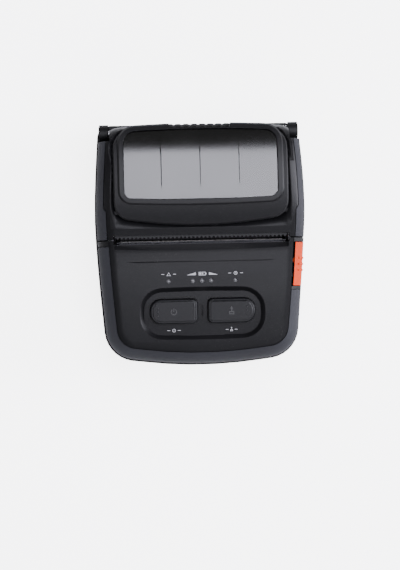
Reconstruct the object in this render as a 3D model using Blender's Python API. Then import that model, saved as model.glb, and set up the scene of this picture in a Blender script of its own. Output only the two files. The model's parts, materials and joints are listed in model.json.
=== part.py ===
"""Portable label printer with a hinged lid, as separate pieces. Metres, +Z up, +Y towards the hinge."""

import math
from collections import namedtuple

import bmesh
import bpy
from mathutils import Matrix, Vector

# Fits and walls
FIT_GAP = 0.0003
RUNNING_GAP = 0.0004
OVERRUN = 0.004
WALL = 0.0022
THIN_WALL = 0.0016
SHEET = 0.001

# Widths that stack up from the media to the outside
MEDIA_WIDTH = 0.080
ARM_THICKNESS = 0.0012
HOOK_THICKNESS = 0.001
GEAR_WIDTH = 0.0016
STRIP_THICKNESS = 0.0014
EDGE_BAND = 0.0009
BARREL_ALLOWANCE = 0.0017
ROLLER_HALF = MEDIA_WIDTH / 2
ARM_INNER = ROLLER_HALF + FIT_GAP
ARM_OUTER = ARM_INNER + ARM_THICKNESS
HOOK_INNER = ARM_OUTER + FIT_GAP
HOOK_OUTER = HOOK_INNER + HOOK_THICKNESS
PLATE_INNER = HOOK_OUTER + FIT_GAP
PLATE_OUTER = PLATE_INNER + SHEET
GEAR_INNER = PLATE_OUTER + FIT_GAP
GEAR_OUTER = GEAR_INNER + GEAR_WIDTH
RIM_INSET = EDGE_BAND + STRIP_THICKNESS + FIT_GAP
RIM_INNER_INSET = RIM_INSET + THIN_WALL
HALF_WIDTH = GEAR_OUTER + FIT_GAP + RIM_INNER_INSET + BARREL_ALLOWANCE

# Lengths that stack up from the roll to the rear edge
ROLL_Y = 0.027
ROLL_SPACE = 0.0265
REAR_MARGIN = 0.0065
BAY_FRONT_Y = 0.0022
BAY_REAR_Y = ROLL_Y + ROLL_SPACE
HALF_LENGTH = BAY_REAR_Y + REAR_MARGIN

# Plan of the body
BARREL_Y = 0.015
BARREL_SPAN = 0.0325
BARREL_DROP = 0.0016
BARREL_POWER = 1.5
FRONT_BOW = 0.0025
FRONT_CORNER = 0.016
REAR_CORNER = 0.006
LID_REAR_BOW = 0.002
LID_REAR_CORNER = 0.012
LID_REAR_SHARE = 0.33
SIDE_SHARES = (0.08, 0.2, 0.32, 0.44, 0.56, 0.68, 0.8, 0.92)
EDGE_SHARES = (0.85, 0.55, 0.2)
CORNER_STEPS = 7

# Battery bay and main board
BATTERY_SIDE = 0.0176
BATTERY_MARGIN = 0.0074
BATTERY_HALF = HALF_WIDTH - BATTERY_SIDE
BATTERY_FRONT_Y = BATTERY_MARGIN - HALF_LENGTH
BATTERY_REAR_Y = -0.0134
BATTERY_HEIGHT = 0.0186
BATTERY_BASE = 0.0004
BOARD_THICKNESS = 0.0016
BOARD_CLEARANCE = 0.0026
BOARD_Z = BATTERY_BASE + BATTERY_HEIGHT + BOARD_CLEARANCE

# Heights that stack up from the board to the crown
PLATE_CLEARANCE = 0.0017
LEDGE_RISE = 0.0031
LATCH_RISE = 0.0061
PLATEN_RISE = 0.0120
CROWN_RISE = 0.0144
HINGE_RISE = 0.0105
BAY_WALL_RISE = 0.0030
PLATE_BOTTOM = BOARD_Z + BOARD_THICKNESS + PLATE_CLEARANCE
LEDGE_HEIGHT = PLATE_BOTTOM + LEDGE_RISE
LATCH_Z = PLATE_BOTTOM + LATCH_RISE
PLATEN_Z = LATCH_Z + PLATEN_RISE
CROWN_HEIGHT = PLATEN_Z + CROWN_RISE
HINGE_Z = LEDGE_HEIGHT + HINGE_RISE
BAY_WALL_TOP = LEDGE_HEIGHT + BAY_WALL_RISE

# Side profile of the body
BASE_EDGE = 0.004
CROWN_Y = 0.032
CROWN_RADIUS = 0.0624
FRONT_FALL = 0.009
FRONT_FALL_POWER = 1.6
SHOULDER = 0.009
SEAM_Y = 0.002

# Hinge of the lid
KNUCKLE_RADIUS = 0.0044
PIN_RADIUS = 0.0015
HINGE_Y = HALF_LENGTH - KNUCKLE_RADIUS - RUNNING_GAP
BLOCK_INNER = PLATE_OUTER + FIT_GAP
BLOCK_WIDTH = 0.0046
CENTRE_KNUCKLE = 0.016
CENTRE_RIBS = 8
RIB_DEPTH = 0.0005
LID_KNUCKLE_RADIUS = 0.0034
LID_KNUCKLE_LENGTH = 0.020

# Print line: platen, gears and latch
PLATEN_Y = 0.0072
PLATEN_RADIUS = 0.0052
SHAFT_RADIUS = 0.0018
BUSH_RADIUS = 0.0032
GEAR_MODULE = 0.0006
PLATEN_TEETH = 18
LOWER_TEETH = 20
UPPER_TEETH = 16
MOTOR_TEETH = 12
LOWER_GEAR_ANGLE = -96.0
UPPER_GEAR_ANGLE = 168.0
MOTOR_GEAR_ANGLE = 165.0
STUD_RADIUS = 0.0012
LATCH_Y = -0.003
LATCH_SHAFT_RADIUS = 0.0015
PLATE_FRONT_Y = -0.0172

# Roll bay
BAY_HALF = GEAR_INNER - RUNNING_GAP - FIT_GAP
TRAY_TOP = 0.0068
TRAY_THICKNESS = 0.0012

# Slot and tear bar
SLOT_HALF = PLATE_INNER
SLOT_REAR_Y = 0.0042
TEAR_Y = 0.0003
TEAR_THICKNESS = 0.0008
TEAR_TOP_DROP = 0.0006

# Front panel
COVER_THICKNESS = 0.0018
BUMPER_THETA = 66.0
STRIP_THETA = 52.0
STRIP_WIDE_THETA = 62.0
STRIP_KINK_Y = 0.0165
RECESS_SIDE = 0.0210
RECESS_MARGIN = 0.0124
RECESS_HALF = HALF_WIDTH - RECESS_SIDE
RECESS_FRONT_Y = RECESS_MARGIN - HALF_LENGTH
RECESS_REAR_Y = -0.0210
RECESS_CORNER = 0.0115
RECESS_DEPTH = 0.0020
RECESS_SLOPE = 0.0024
BUTTON_FRONT_Y = -0.0394
BUTTON_REAR_Y = -0.0275
BUTTON_INNER = 0.0026
BUTTON_MARGIN = 0.0054
BUTTON_OUTER = RECESS_HALF - BUTTON_MARGIN
BUTTON_RISE = 0.0006
BUTTON_TRAVEL = 0.001
LAMP_Y = -0.0184
LAMP_RADIUS = 0.0007
LAMP_BATTERY_STEP = 0.0045
LAMP_OUTER_X = 0.0164

# Raised lid panel and window
PANEL_SIDE = 0.0097
PANEL_MARGIN = 0.0026
PANEL_HALF = HALF_WIDTH - PANEL_SIDE
PANEL_FRONT_Y = 0.0085
PANEL_REAR_Y = HALF_LENGTH - PANEL_MARGIN
PANEL_FRONT_BOW = 0.0028
PANEL_REAR_BOW = 0.0012
PANEL_FRONT_CORNER = 0.0085
PANEL_REAR_CORNER = 0.0100
PANEL_RISE = 0.0018
RING_RISE = 0.0008
RING_WIDTH = 0.0029
WINDOW_SIDE = 0.0052
WINDOW_MARGIN = 0.0019
WINDOW_HALF = PANEL_HALF - WINDOW_SIDE
WINDOW_FRONT_Y = 0.0213
WINDOW_REAR_Y = PANEL_REAR_Y - WINDOW_MARGIN
WINDOW_BOW = 0.0008
WINDOW_CORNER = 0.0037
WINDOW_REAR_CORNER = 0.0060
WINDOW_THICKNESS = 0.0014
WINDOW_SEAT = 0.0015
FLUTE_X = 0.0190
FLUTE_DEPTH = 0.0008
FLUTE_HALF_WIDTH = 0.0022

Shape = namedtuple("Shape", "width front rear front_bow rear_bow front_radius rear_radius rear_share")


def clear_scene():
    for obj in list(bpy.data.objects):
        bpy.data.objects.remove(obj, do_unlink=True)


def finish(name, colour, roughness, metallic=0.0, alpha=1.0):
    """One Principled material, made once for each name."""
    if name in bpy.data.materials:
        return bpy.data.materials[name]
    material = bpy.data.materials.new(name)
    material.use_nodes = True
    shader = material.node_tree.nodes["Principled BSDF"]
    shader.inputs["Base Color"].default_value = (*colour, 1.0)
    shader.inputs["Roughness"].default_value = roughness
    shader.inputs["Metallic"].default_value = metallic
    shader.inputs["Alpha"].default_value = alpha
    return material


def black_plastic():
    return finish("black plastic", (0.030, 0.030, 0.033), 0.55)


def charcoal_plastic():
    return finish("charcoal plastic", (0.045, 0.045, 0.050), 0.50)


def grey_rubber():
    return finish("grey rubber", (0.130, 0.135, 0.150), 0.70)


def orange_plastic():
    return finish("orange plastic", (0.90, 0.20, 0.035), 0.40)


def smoke_window():
    return finish("smoke window", (0.020, 0.020, 0.022), 0.12, 0.0, 0.85)


def button_rubber():
    return finish("button rubber", (0.028, 0.028, 0.030), 0.60)


def steel():
    return finish("steel", (0.55, 0.55, 0.56), 0.35, 1.0)


def aluminium():
    return finish("aluminium", (0.70, 0.71, 0.72), 0.40, 1.0)


def gear_nylon():
    return finish("gear nylon", (0.75, 0.74, 0.70), 0.50)


def platen_rubber():
    return finish("platen rubber", (0.050, 0.050, 0.052), 0.80)


def circuit_green():
    return finish("circuit green", (0.020, 0.160, 0.070), 0.45)


def top_height(y):
    """Height of the upper skin: a parabola over the roll, and a slow fall to the front edge."""
    if y > 0:
        return CROWN_HEIGHT - (y - CROWN_Y) ** 2 / (2 * CROWN_RADIUS)
    slot_height = CROWN_HEIGHT - CROWN_Y**2 / (2 * CROWN_RADIUS)
    return slot_height - FRONT_FALL * (-y / HALF_LENGTH) ** FRONT_FALL_POWER


def below_top(drop):
    return lambda y: top_height(y) - drop


def body_width(y):
    """Half the width of the body at y: barrel sides, widest over the roll."""
    return HALF_WIDTH - BARREL_DROP * (abs(y - BARREL_Y) / BARREL_SPAN) ** BARREL_POWER


def even_width(half):
    return lambda y: half


CASE_SHAPE = Shape(
    body_width, -HALF_LENGTH, HALF_LENGTH, FRONT_BOW, 0.0, FRONT_CORNER, REAR_CORNER, 1.0
)
COVER_SHAPE = Shape(
    body_width, -HALF_LENGTH, HALF_LENGTH, FRONT_BOW, LID_REAR_BOW, FRONT_CORNER, FRONT_CORNER, 1.0
)
LID_SHAPE = Shape(
    body_width,
    -HALF_LENGTH,
    HALF_LENGTH,
    FRONT_BOW,
    LID_REAR_BOW,
    FRONT_CORNER,
    LID_REAR_CORNER,
    LID_REAR_SHARE,
)
PANEL_SHAPE = Shape(
    even_width(PANEL_HALF),
    PANEL_FRONT_Y,
    PANEL_REAR_Y,
    PANEL_FRONT_BOW,
    PANEL_REAR_BOW,
    PANEL_FRONT_CORNER,
    PANEL_REAR_CORNER,
    1.0,
)
WINDOW_SHAPE = Shape(
    even_width(WINDOW_HALF),
    WINDOW_FRONT_Y,
    WINDOW_REAR_Y,
    WINDOW_BOW,
    WINDOW_BOW,
    WINDOW_CORNER,
    WINDOW_REAR_CORNER,
    1.0,
)
RECESS_SHAPE = Shape(
    even_width(RECESS_HALF),
    RECESS_FRONT_Y,
    RECESS_REAR_Y,
    FIT_GAP,
    FIT_GAP,
    RECESS_CORNER,
    RECESS_CORNER,
    1.0,
)


def side_angle(shape, y):
    """Direction of the side's outward normal at y, from +X."""
    step = FIT_GAP
    return math.atan((shape.width(y - step) - shape.width(y + step)) / (2 * step))


def corner_points(centre, radii, start, end):
    points = []
    for k in range(CORNER_STEPS + 1):
        angle = start + (end - start) * k / CORNER_STEPS
        points.append((centre[0] + radii[0] * math.cos(angle), centre[1] + radii[1] * math.sin(angle)))
    return points


def half_outline(shape, inset):
    """Right half of an outline from the rear edge round to the front edge, moved inwards by inset."""
    rear_inset = inset * shape.rear_share
    rear_y = shape.rear - shape.rear_bow - shape.rear_radius
    front_y = shape.front + shape.front_bow + shape.front_radius
    rear_x = shape.width(rear_y) - shape.rear_radius
    front_x = shape.width(front_y) - shape.front_radius
    points = []
    for share in reversed(EDGE_SHARES):
        points.append((share * rear_x, shape.rear - rear_inset - shape.rear_bow * share**2))
    rear_lean = math.atan(2 * shape.rear_bow / rear_x)
    points += corner_points(
        (rear_x, rear_y),
        (shape.rear_radius - inset, shape.rear_radius - rear_inset),
        math.pi / 2 - rear_lean,
        side_angle(shape, rear_y),
    )
    for share in SIDE_SHARES:
        y = rear_y + (front_y - rear_y) * share
        points.append((shape.width(y) - inset, y))
    front_lean = math.atan(2 * shape.front_bow / front_x)
    radius = shape.front_radius - inset
    points += corner_points(
        (front_x, front_y), (radius, radius), side_angle(shape, front_y), front_lean - math.pi / 2
    )
    for share in EDGE_SHARES:
        points.append((share * front_x, shape.front + inset + shape.front_bow * share**2))
    return points


def ring(shape, inset, height):
    """A closed ring of points; height is a value or a function of y."""
    half = half_outline(shape, inset)
    whole = half + [(-x, y) for x, y in reversed(half)]
    return [Vector((x, y, height(y) if callable(height) else height)) for x, y in whole]


def skin_point(theta, depth):
    """Inset and drop of a point of the rounded shoulder, depth below the skin. 0 is upright, 90 flat."""
    angle = math.radians(theta)
    inset = EDGE_BAND + SHOULDER * (1 - math.cos(angle)) + depth * math.cos(angle)
    drop = SHOULDER * (1 - math.sin(angle)) + depth * math.sin(angle)
    return inset, drop


def skin_ring(shape, theta, depth):
    inset, drop = skin_point(theta, depth)
    return ring(shape, inset, below_top(drop))


def mesh_object(name, mesh_data, material):
    bmesh.ops.recalc_face_normals(mesh_data, faces=mesh_data.faces)
    mesh = bpy.data.meshes.new(name)
    mesh_data.to_mesh(mesh)
    mesh_data.free()
    obj = bpy.data.objects.new(name, mesh)
    bpy.context.scene.collection.objects.link(obj)
    mesh.materials.append(material)
    mesh.shade_smooth()
    mesh.set_sharp_from_angle(angle=math.radians(35))
    return obj


def join_rings(mesh_data, rings, closed):
    """Faces between neighbouring rings. Returns the rings as vertices."""
    rows = [[mesh_data.verts.new(point) for point in points] for points in rings]
    count = len(rows[0])
    pairs = list(zip(rows, rows[1:]))
    if closed:
        pairs.append((rows[-1], rows[0]))
    for lower, upper in pairs:
        for i in range(count):
            j = (i + 1) % count
            mesh_data.faces.new((lower[i], lower[j], upper[j], upper[i]))
    return rows


def loft(name, rings, material):
    """A solid through mirror-symmetric rings. A curved end is closed by strips from left to right."""
    mesh_data = bmesh.new()
    rows = join_rings(mesh_data, rings, False)
    for row in (rows[0], rows[-1]):
        if all(vertex.co.z == row[0].co.z for vertex in row):
            mesh_data.faces.new(row)
            continue
        last = len(row) - 1
        for i in range(len(row) // 2 - 1):
            mesh_data.faces.new((row[i], row[i + 1], row[last - i - 1], row[last - i]))
    return mesh_object(name, mesh_data, material)


def band(name, rings, material):
    """A closed belt: the last ring joins the first."""
    mesh_data = bmesh.new()
    join_rings(mesh_data, rings, True)
    return mesh_object(name, mesh_data, material)


def stack(name, rings, material):
    """A solid through rings of any outline, with plain caps."""
    mesh_data = bmesh.new()
    rows = join_rings(mesh_data, rings, False)
    mesh_data.faces.new(rows[0])
    mesh_data.faces.new(rows[-1])
    return mesh_object(name, mesh_data, material)


def prism(name, outline, axis, low, high, material):
    """A flat outline pushed along X, Y or Z. The outline holds the other two coordinates in order."""
    def point(pair, along):
        values = list(pair)
        values.insert("XYZ".index(axis), along)
        return Vector(values)

    return stack(name, [[point(pair, value) for pair in outline] for value in (low, high)], material)


def block(name, low, high, material):
    outline = [(low[0], low[1]), (high[0], low[1]), (high[0], high[1]), (low[0], high[1])]
    return prism(name, outline, "Z", low[2], high[2], material)


def circle(centre, radius, count, start=0.0):
    return [
        (
            centre[0] + radius * math.cos(start + 2 * math.pi * k / count),
            centre[1] + radius * math.sin(start + 2 * math.pi * k / count),
        )
        for k in range(count)
    ]


def rod(name, axis, centre, radius, low, high, material, count=20):
    return prism(name, circle(centre, radius, count), axis, low, high, material)


def turned(name, axis, centre, profile, material, count=24):
    """A solid turned about X, Y or Z from (radius, along) pairs."""
    rings = []
    for radius, along in profile:
        points = []
        for pair in circle(centre, radius, count):
            values = list(pair)
            values.insert("XYZ".index(axis), along)
            points.append(Vector(values))
        rings.append(points)
    return stack(name, rings, material)


def tube_profile(outer, inner, low, high):
    return [(outer, low), (outer, high), (inner, high), (inner, low)]


def sleeve(name, axis, centre, outer, inner, low, high, material, count=20):
    """A ring-shaped solid about X, Y or Z."""
    mesh_data = bmesh.new()
    rings = []
    for radius, along in tube_profile(outer, inner, low, high):
        points = []
        for pair in circle(centre, radius, count):
            values = list(pair)
            values.insert("XYZ".index(axis), along)
            points.append(Vector(values))
        rings.append(points)
    join_rings(mesh_data, rings, True)
    return mesh_object(name, mesh_data, material)


def boolean(obj, other, operation):
    """Adds or cuts the other solid, which stays as a hidden helper."""
    other.hide_render = True
    other.display_type = "WIRE"
    modifier = obj.modifiers.new(f"{operation.lower()} {other.name}", "BOOLEAN")
    modifier.operation = operation
    modifier.object = other
    modifier.solver = "EXACT"


def cut(obj, *others):
    for other in others:
        boolean(obj, other, "DIFFERENCE")


def add(obj, *others):
    for other in others:
        boolean(obj, other, "UNION")


def keep(obj, other):
    boolean(obj, other, "INTERSECT")


def axis_empty(name, place):
    """An empty on a joint's axis, which carries the pieces of one moving body."""
    empty = bpy.data.objects.new(name, None)
    empty.empty_display_size = KNUCKLE_RADIUS
    empty.location = place
    bpy.context.scene.collection.objects.link(empty)
    return empty


def carry(empty, *pieces):
    """Hangs pieces, and the hidden helpers they use, on an empty and puts their origins at its place."""
    place = Vector(empty.location)
    for piece in pieces:
        if piece.parent is not None:
            continue
        piece.data.transform(Matrix.Translation(-place))
        piece.parent = empty
        carry(empty, *[modifier.object for modifier in piece.modifiers if modifier.type == "BOOLEAN"])


# Lower case
CASE_INNER_TOP = LEDGE_HEIGHT - THIN_WALL
FLOOR = WALL
GEAR_WELL_REAR = PLATEN_Y + BUSH_RADIUS * 2
POST_RADIUS = 0.0030
POST_SIDE = 0.0117
POST_MARGIN = 0.0111
POST_RISE = 0.0008
POST_X = HALF_WIDTH - POST_SIDE
POST_FRONT_Y = BATTERY_FRONT_Y + POST_MARGIN
POST_REAR_Y = -0.0270
POST_TOP = BOARD_Z + BOARD_THICKNESS + POST_RISE
BOSS_FRONT_DROP = 0.0042
SCREW_HEAD_RADIUS = 0.0021
SCREW_HEAD_HEIGHT = 0.0016
SCREW_SHANK_RADIUS = 0.0010
SCREW_DROP = 0.0070
SCREW_SEAT = POST_TOP - SCREW_DROP
SCREW_LENGTH = 0.0120
SHELF_FRONT = (-0.0170, -0.0150)
SHELF_REAR = (-0.0020, 0.0004)
SHELF_INNER = PLATE_INNER + FIT_GAP
SHELF_TOP = PLATE_BOTTOM - FIT_GAP
SHELF_DEPTH = 0.0044
SHELF_BOTTOM = PLATE_BOTTOM - SHELF_DEPTH
PORT_FRONT_Y = -0.0240
PORT_REAR_Y = -0.0040
PORT_DROP = 0.0035
PORT_HEIGHT = 0.0130
PORT_HIGH = LEDGE_HEIGHT - PORT_DROP
PORT_LOW = PORT_HIGH - PORT_HEIGHT
PORT_FLAP = 0.0012
PORT_INSET = 0.0001
DATA_Y = -0.0095
DATA_WIDTH = 0.0080
DATA_HEIGHT = 0.0036
DATA_DEPTH = 0.0085
POWER_Y = -0.0185
POWER_WIDTH = 0.0086
POWER_HEIGHT = 0.0070
POWER_DEPTH = 0.0100
REAR_WALL_RISE = 0.0050
REAR_WALL_TOP = LEDGE_HEIGHT + REAR_WALL_RISE
RIM_THETA = 25.0
RIGHT_ARM_Y = -0.0237
LEFT_ARM_Y = -0.0011
BAY_WALL = 0.0015
BLOCK_BASE = 0.0036
BATTERY_ROOF = BATTERY_BASE + BATTERY_HEIGHT + RUNNING_GAP
LATCH_BAY = (0.0072, -0.0126, -0.0046)
LATCH_BAY_TOP = 0.0057
PINION_PIN_RADIUS = 0.0012
RACK_LOW = 0.0028
RACK_HIGH = 0.0052


def edge_rings(shape, radius, base, steps=3):
    """Rings of a rounded bottom edge."""
    rings = []
    for k in range(steps + 1):
        angle = math.pi / 2 * k / steps
        rings.append(ring(shape, radius * (1 - math.sin(angle)), base + radius * (1 - math.cos(angle))))
    return rings


def post_places():
    return [(side * POST_X, y) for side in (-1, 1) for y in (POST_FRONT_Y, POST_REAR_Y)]


def seam_cutter(name, material):
    """Everything behind the seam, above the ledge."""
    return block(
        name,
        (-HALF_WIDTH - OVERRUN, SEAM_Y - FIT_GAP, LEDGE_HEIGHT - THIN_WALL),
        (HALF_WIDTH + OVERRUN, HALF_LENGTH + OVERRUN, CROWN_HEIGHT + OVERRUN),
        material,
    )


def case_rim(material):
    """The upright rim of the front half, under the bumper."""
    depth = STRIP_THICKNESS + FIT_GAP
    rim_top = below_top(skin_point(RIM_THETA, depth)[1])
    rings = [
        ring(CASE_SHAPE, RIM_INSET, LEDGE_HEIGHT - THIN_WALL / 2),
        skin_ring(CASE_SHAPE, 0.0, depth),
        skin_ring(CASE_SHAPE, RIM_THETA, depth),
        ring(CASE_SHAPE, RIM_INNER_INSET, rim_top),
        ring(CASE_SHAPE, RIM_INNER_INSET, LEDGE_HEIGHT - THIN_WALL / 2),
    ]
    rim = band("rim_solid", rings, material)
    cut(rim, seam_cutter("rim_seam", material))
    return rim


def case_cavity(material):
    """The front compartment: the wall's inner face, up through the rim, kept off the battery bay."""
    rings = [
        ring(CASE_SHAPE, WALL, FLOOR),
        ring(CASE_SHAPE, WALL, CASE_INNER_TOP),
        ring(CASE_SHAPE, RIM_INNER_INSET, CASE_INNER_TOP + THIN_WALL / 4),
        ring(CASE_SHAPE, RIM_INNER_INSET, CROWN_HEIGHT),
    ]
    cavity = loft("front_cavity", rings, material)
    cut(
        cavity,
        block(
            "battery_keep",
            (-BATTERY_HALF - THIN_WALL, BATTERY_FRONT_Y - THIN_WALL, -OVERRUN),
            (BATTERY_HALF + THIN_WALL, BATTERY_REAR_Y + THIN_WALL, BATTERY_ROOF + THIN_WALL / 2),
            material,
        ),
        block(
            "latch_keep",
            (-LATCH_BAY[0] - THIN_WALL, LATCH_BAY[1] - THIN_WALL, -OVERRUN),
            (LATCH_BAY[0] + THIN_WALL, LATCH_BAY[2] + THIN_WALL, LATCH_BAY_TOP + THIN_WALL),
            material,
        ),
        block(
            "front_wall_keep",
            (-HALF_WIDTH - OVERRUN, BAY_FRONT_Y - WALL / 2 - FIT_GAP * 2, -OVERRUN),
            (HALF_WIDTH + OVERRUN, HALF_LENGTH + OVERRUN, CROWN_HEIGHT + OVERRUN),
            material,
        ),
    )
    return cavity


def bay_cutters(material):
    """The roll bay, the gear wells beside the platen and the hollow side walls."""
    bay = block(
        "roll_bay",
        (-BAY_HALF, BAY_FRONT_Y, FLOOR),
        (BAY_HALF, BAY_REAR_Y - WALL, CROWN_HEIGHT),
        material,
    )
    cutters = [bay]
    for side, word in ((-1, "left"), (1, "right")):
        inner, outer = sorted((side * PLATE_INNER - side * FIT_GAP, side * (GEAR_OUTER + RUNNING_GAP)))
        cutters.append(
            block(
                f"gear_well_{word}",
                (inner, BAY_FRONT_Y - WALL - OVERRUN, SHELF_TOP - THIN_WALL),
                (outer, GEAR_WELL_REAR, CROWN_HEIGHT),
                material,
            )
        )
        low, high = sorted((side * (BAY_HALF + BAY_WALL), side * (HALF_WIDTH - WALL * 2)))
        cutters.append(
            block(
                f"side_hollow_{word}",
                (low, BAY_FRONT_Y - WALL - OVERRUN, FLOOR),
                (high, BAY_REAR_Y - OVERRUN, SHELF_TOP - THIN_WALL * 2),
                material,
            )
        )
    return cutters


def battery_cutters(material):
    """The battery bay, open below, and the pocket of its catch."""
    return [
        block(
            "battery_bay",
            (-BATTERY_HALF - RUNNING_GAP, BATTERY_FRONT_Y - RUNNING_GAP, -OVERRUN),
            (BATTERY_HALF + RUNNING_GAP, BATTERY_REAR_Y + RUNNING_GAP, BATTERY_ROOF),
            material,
        ),
        block(
            "latch_bay",
            (-LATCH_BAY[0], BATTERY_REAR_Y - OVERRUN, -OVERRUN),
            (LATCH_BAY[0], LATCH_BAY[2], LATCH_BAY_TOP),
            material,
        ),
    ]


def side_slab(name, side, insets, span, heights, material):
    """A slab along a side wall, curved like it, between two insets, two y places and two heights."""
    count = len(SIDE_SHARES)
    ys = [span[0] + (span[1] - span[0]) * k / count for k in range(count + 1)]
    outline = [(side * (body_width(y) - insets[0]), y) for y in ys]
    outline += [(side * (body_width(y) - insets[1]), y) for y in reversed(ys)]
    return prism(name, outline, "Z", heights[0], heights[1], material)


def port_slab(name, outer, inner, margin, material):
    return side_slab(
        name,
        -1,
        (outer, inner),
        (PORT_FRONT_Y - margin, PORT_REAR_Y + margin),
        (PORT_LOW - margin, PORT_HIGH + margin),
        material,
    )


def port_cutters(material):
    """The flap's recess in the left wall, and the two socket openings behind it."""
    cutters = [port_slab("port_recess", -OVERRUN, PORT_INSET + PORT_FLAP + FIT_GAP, FIT_GAP, material)]
    sizes = (
        ("data_opening", DATA_Y, DATA_WIDTH, DATA_HEIGHT),
        ("power_opening", POWER_Y, POWER_WIDTH, POWER_HEIGHT),
    )
    for name, y, width, height in sizes:
        top = BOARD_Z - FIT_GAP
        cutters.append(
            block(
                name,
                (-HALF_WIDTH - OVERRUN, y - width / 2 - FIT_GAP, top - height - FIT_GAP),
                (-POST_X, y + width / 2 + FIT_GAP, top + FIT_GAP),
                material,
            )
        )
    return cutters


def hinge_block(side, material):
    """The round block that holds one end of the hinge pin, on its base."""
    word = "left" if side < 0 else "right"
    low, high = sorted((side * BLOCK_INNER, side * (BLOCK_INNER + BLOCK_WIDTH)))
    centre = (HINGE_Y, HINGE_Z)
    knuckle = rod(f"block_round_{word}", "X", centre, KNUCKLE_RADIUS, low, high, material, 28)
    base = block(
        f"block_base_{word}",
        (low, HINGE_Y - BLOCK_BASE, LEDGE_HEIGHT - THIN_WALL),
        (high, HINGE_Y + BLOCK_BASE, HINGE_Z),
        material,
    )
    step_low, step_high = sorted((side * (BLOCK_INNER + BLOCK_WIDTH - SHEET), side * (BLOCK_INNER + BLOCK_WIDTH + FIT_GAP)))
    step = rod(f"block_step_{word}", "X", centre, KNUCKLE_RADIUS - SHEET, step_low, step_high, material, 28)
    return [knuckle, base, step]


def centre_knuckle(material):
    """The ribbed middle knuckle on its base."""
    pitch = 2 * CENTRE_KNUCKLE / CENTRE_RIBS
    profile = []
    for k in range(CENTRE_RIBS):
        start = -CENTRE_KNUCKLE + k * pitch
        profile += [
            (KNUCKLE_RADIUS - RIB_DEPTH, start),
            (KNUCKLE_RADIUS, start + pitch * 0.25),
            (KNUCKLE_RADIUS, start + pitch * 0.75),
        ]
    profile.append((KNUCKLE_RADIUS - RIB_DEPTH, CENTRE_KNUCKLE))
    round_part = turned("knuckle_round", "X", (HINGE_Y, HINGE_Z), profile, material, 16)
    base = block(
        "knuckle_base",
        (-CENTRE_KNUCKLE + FIT_GAP, BAY_REAR_Y - WALL - FIT_GAP * 2, LEDGE_HEIGHT - THIN_WALL),
        (CENTRE_KNUCKLE - FIT_GAP, HINGE_Y + BLOCK_BASE - RIB_DEPTH, HINGE_Z),
        material,
    )
    return [round_part, base]


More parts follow.
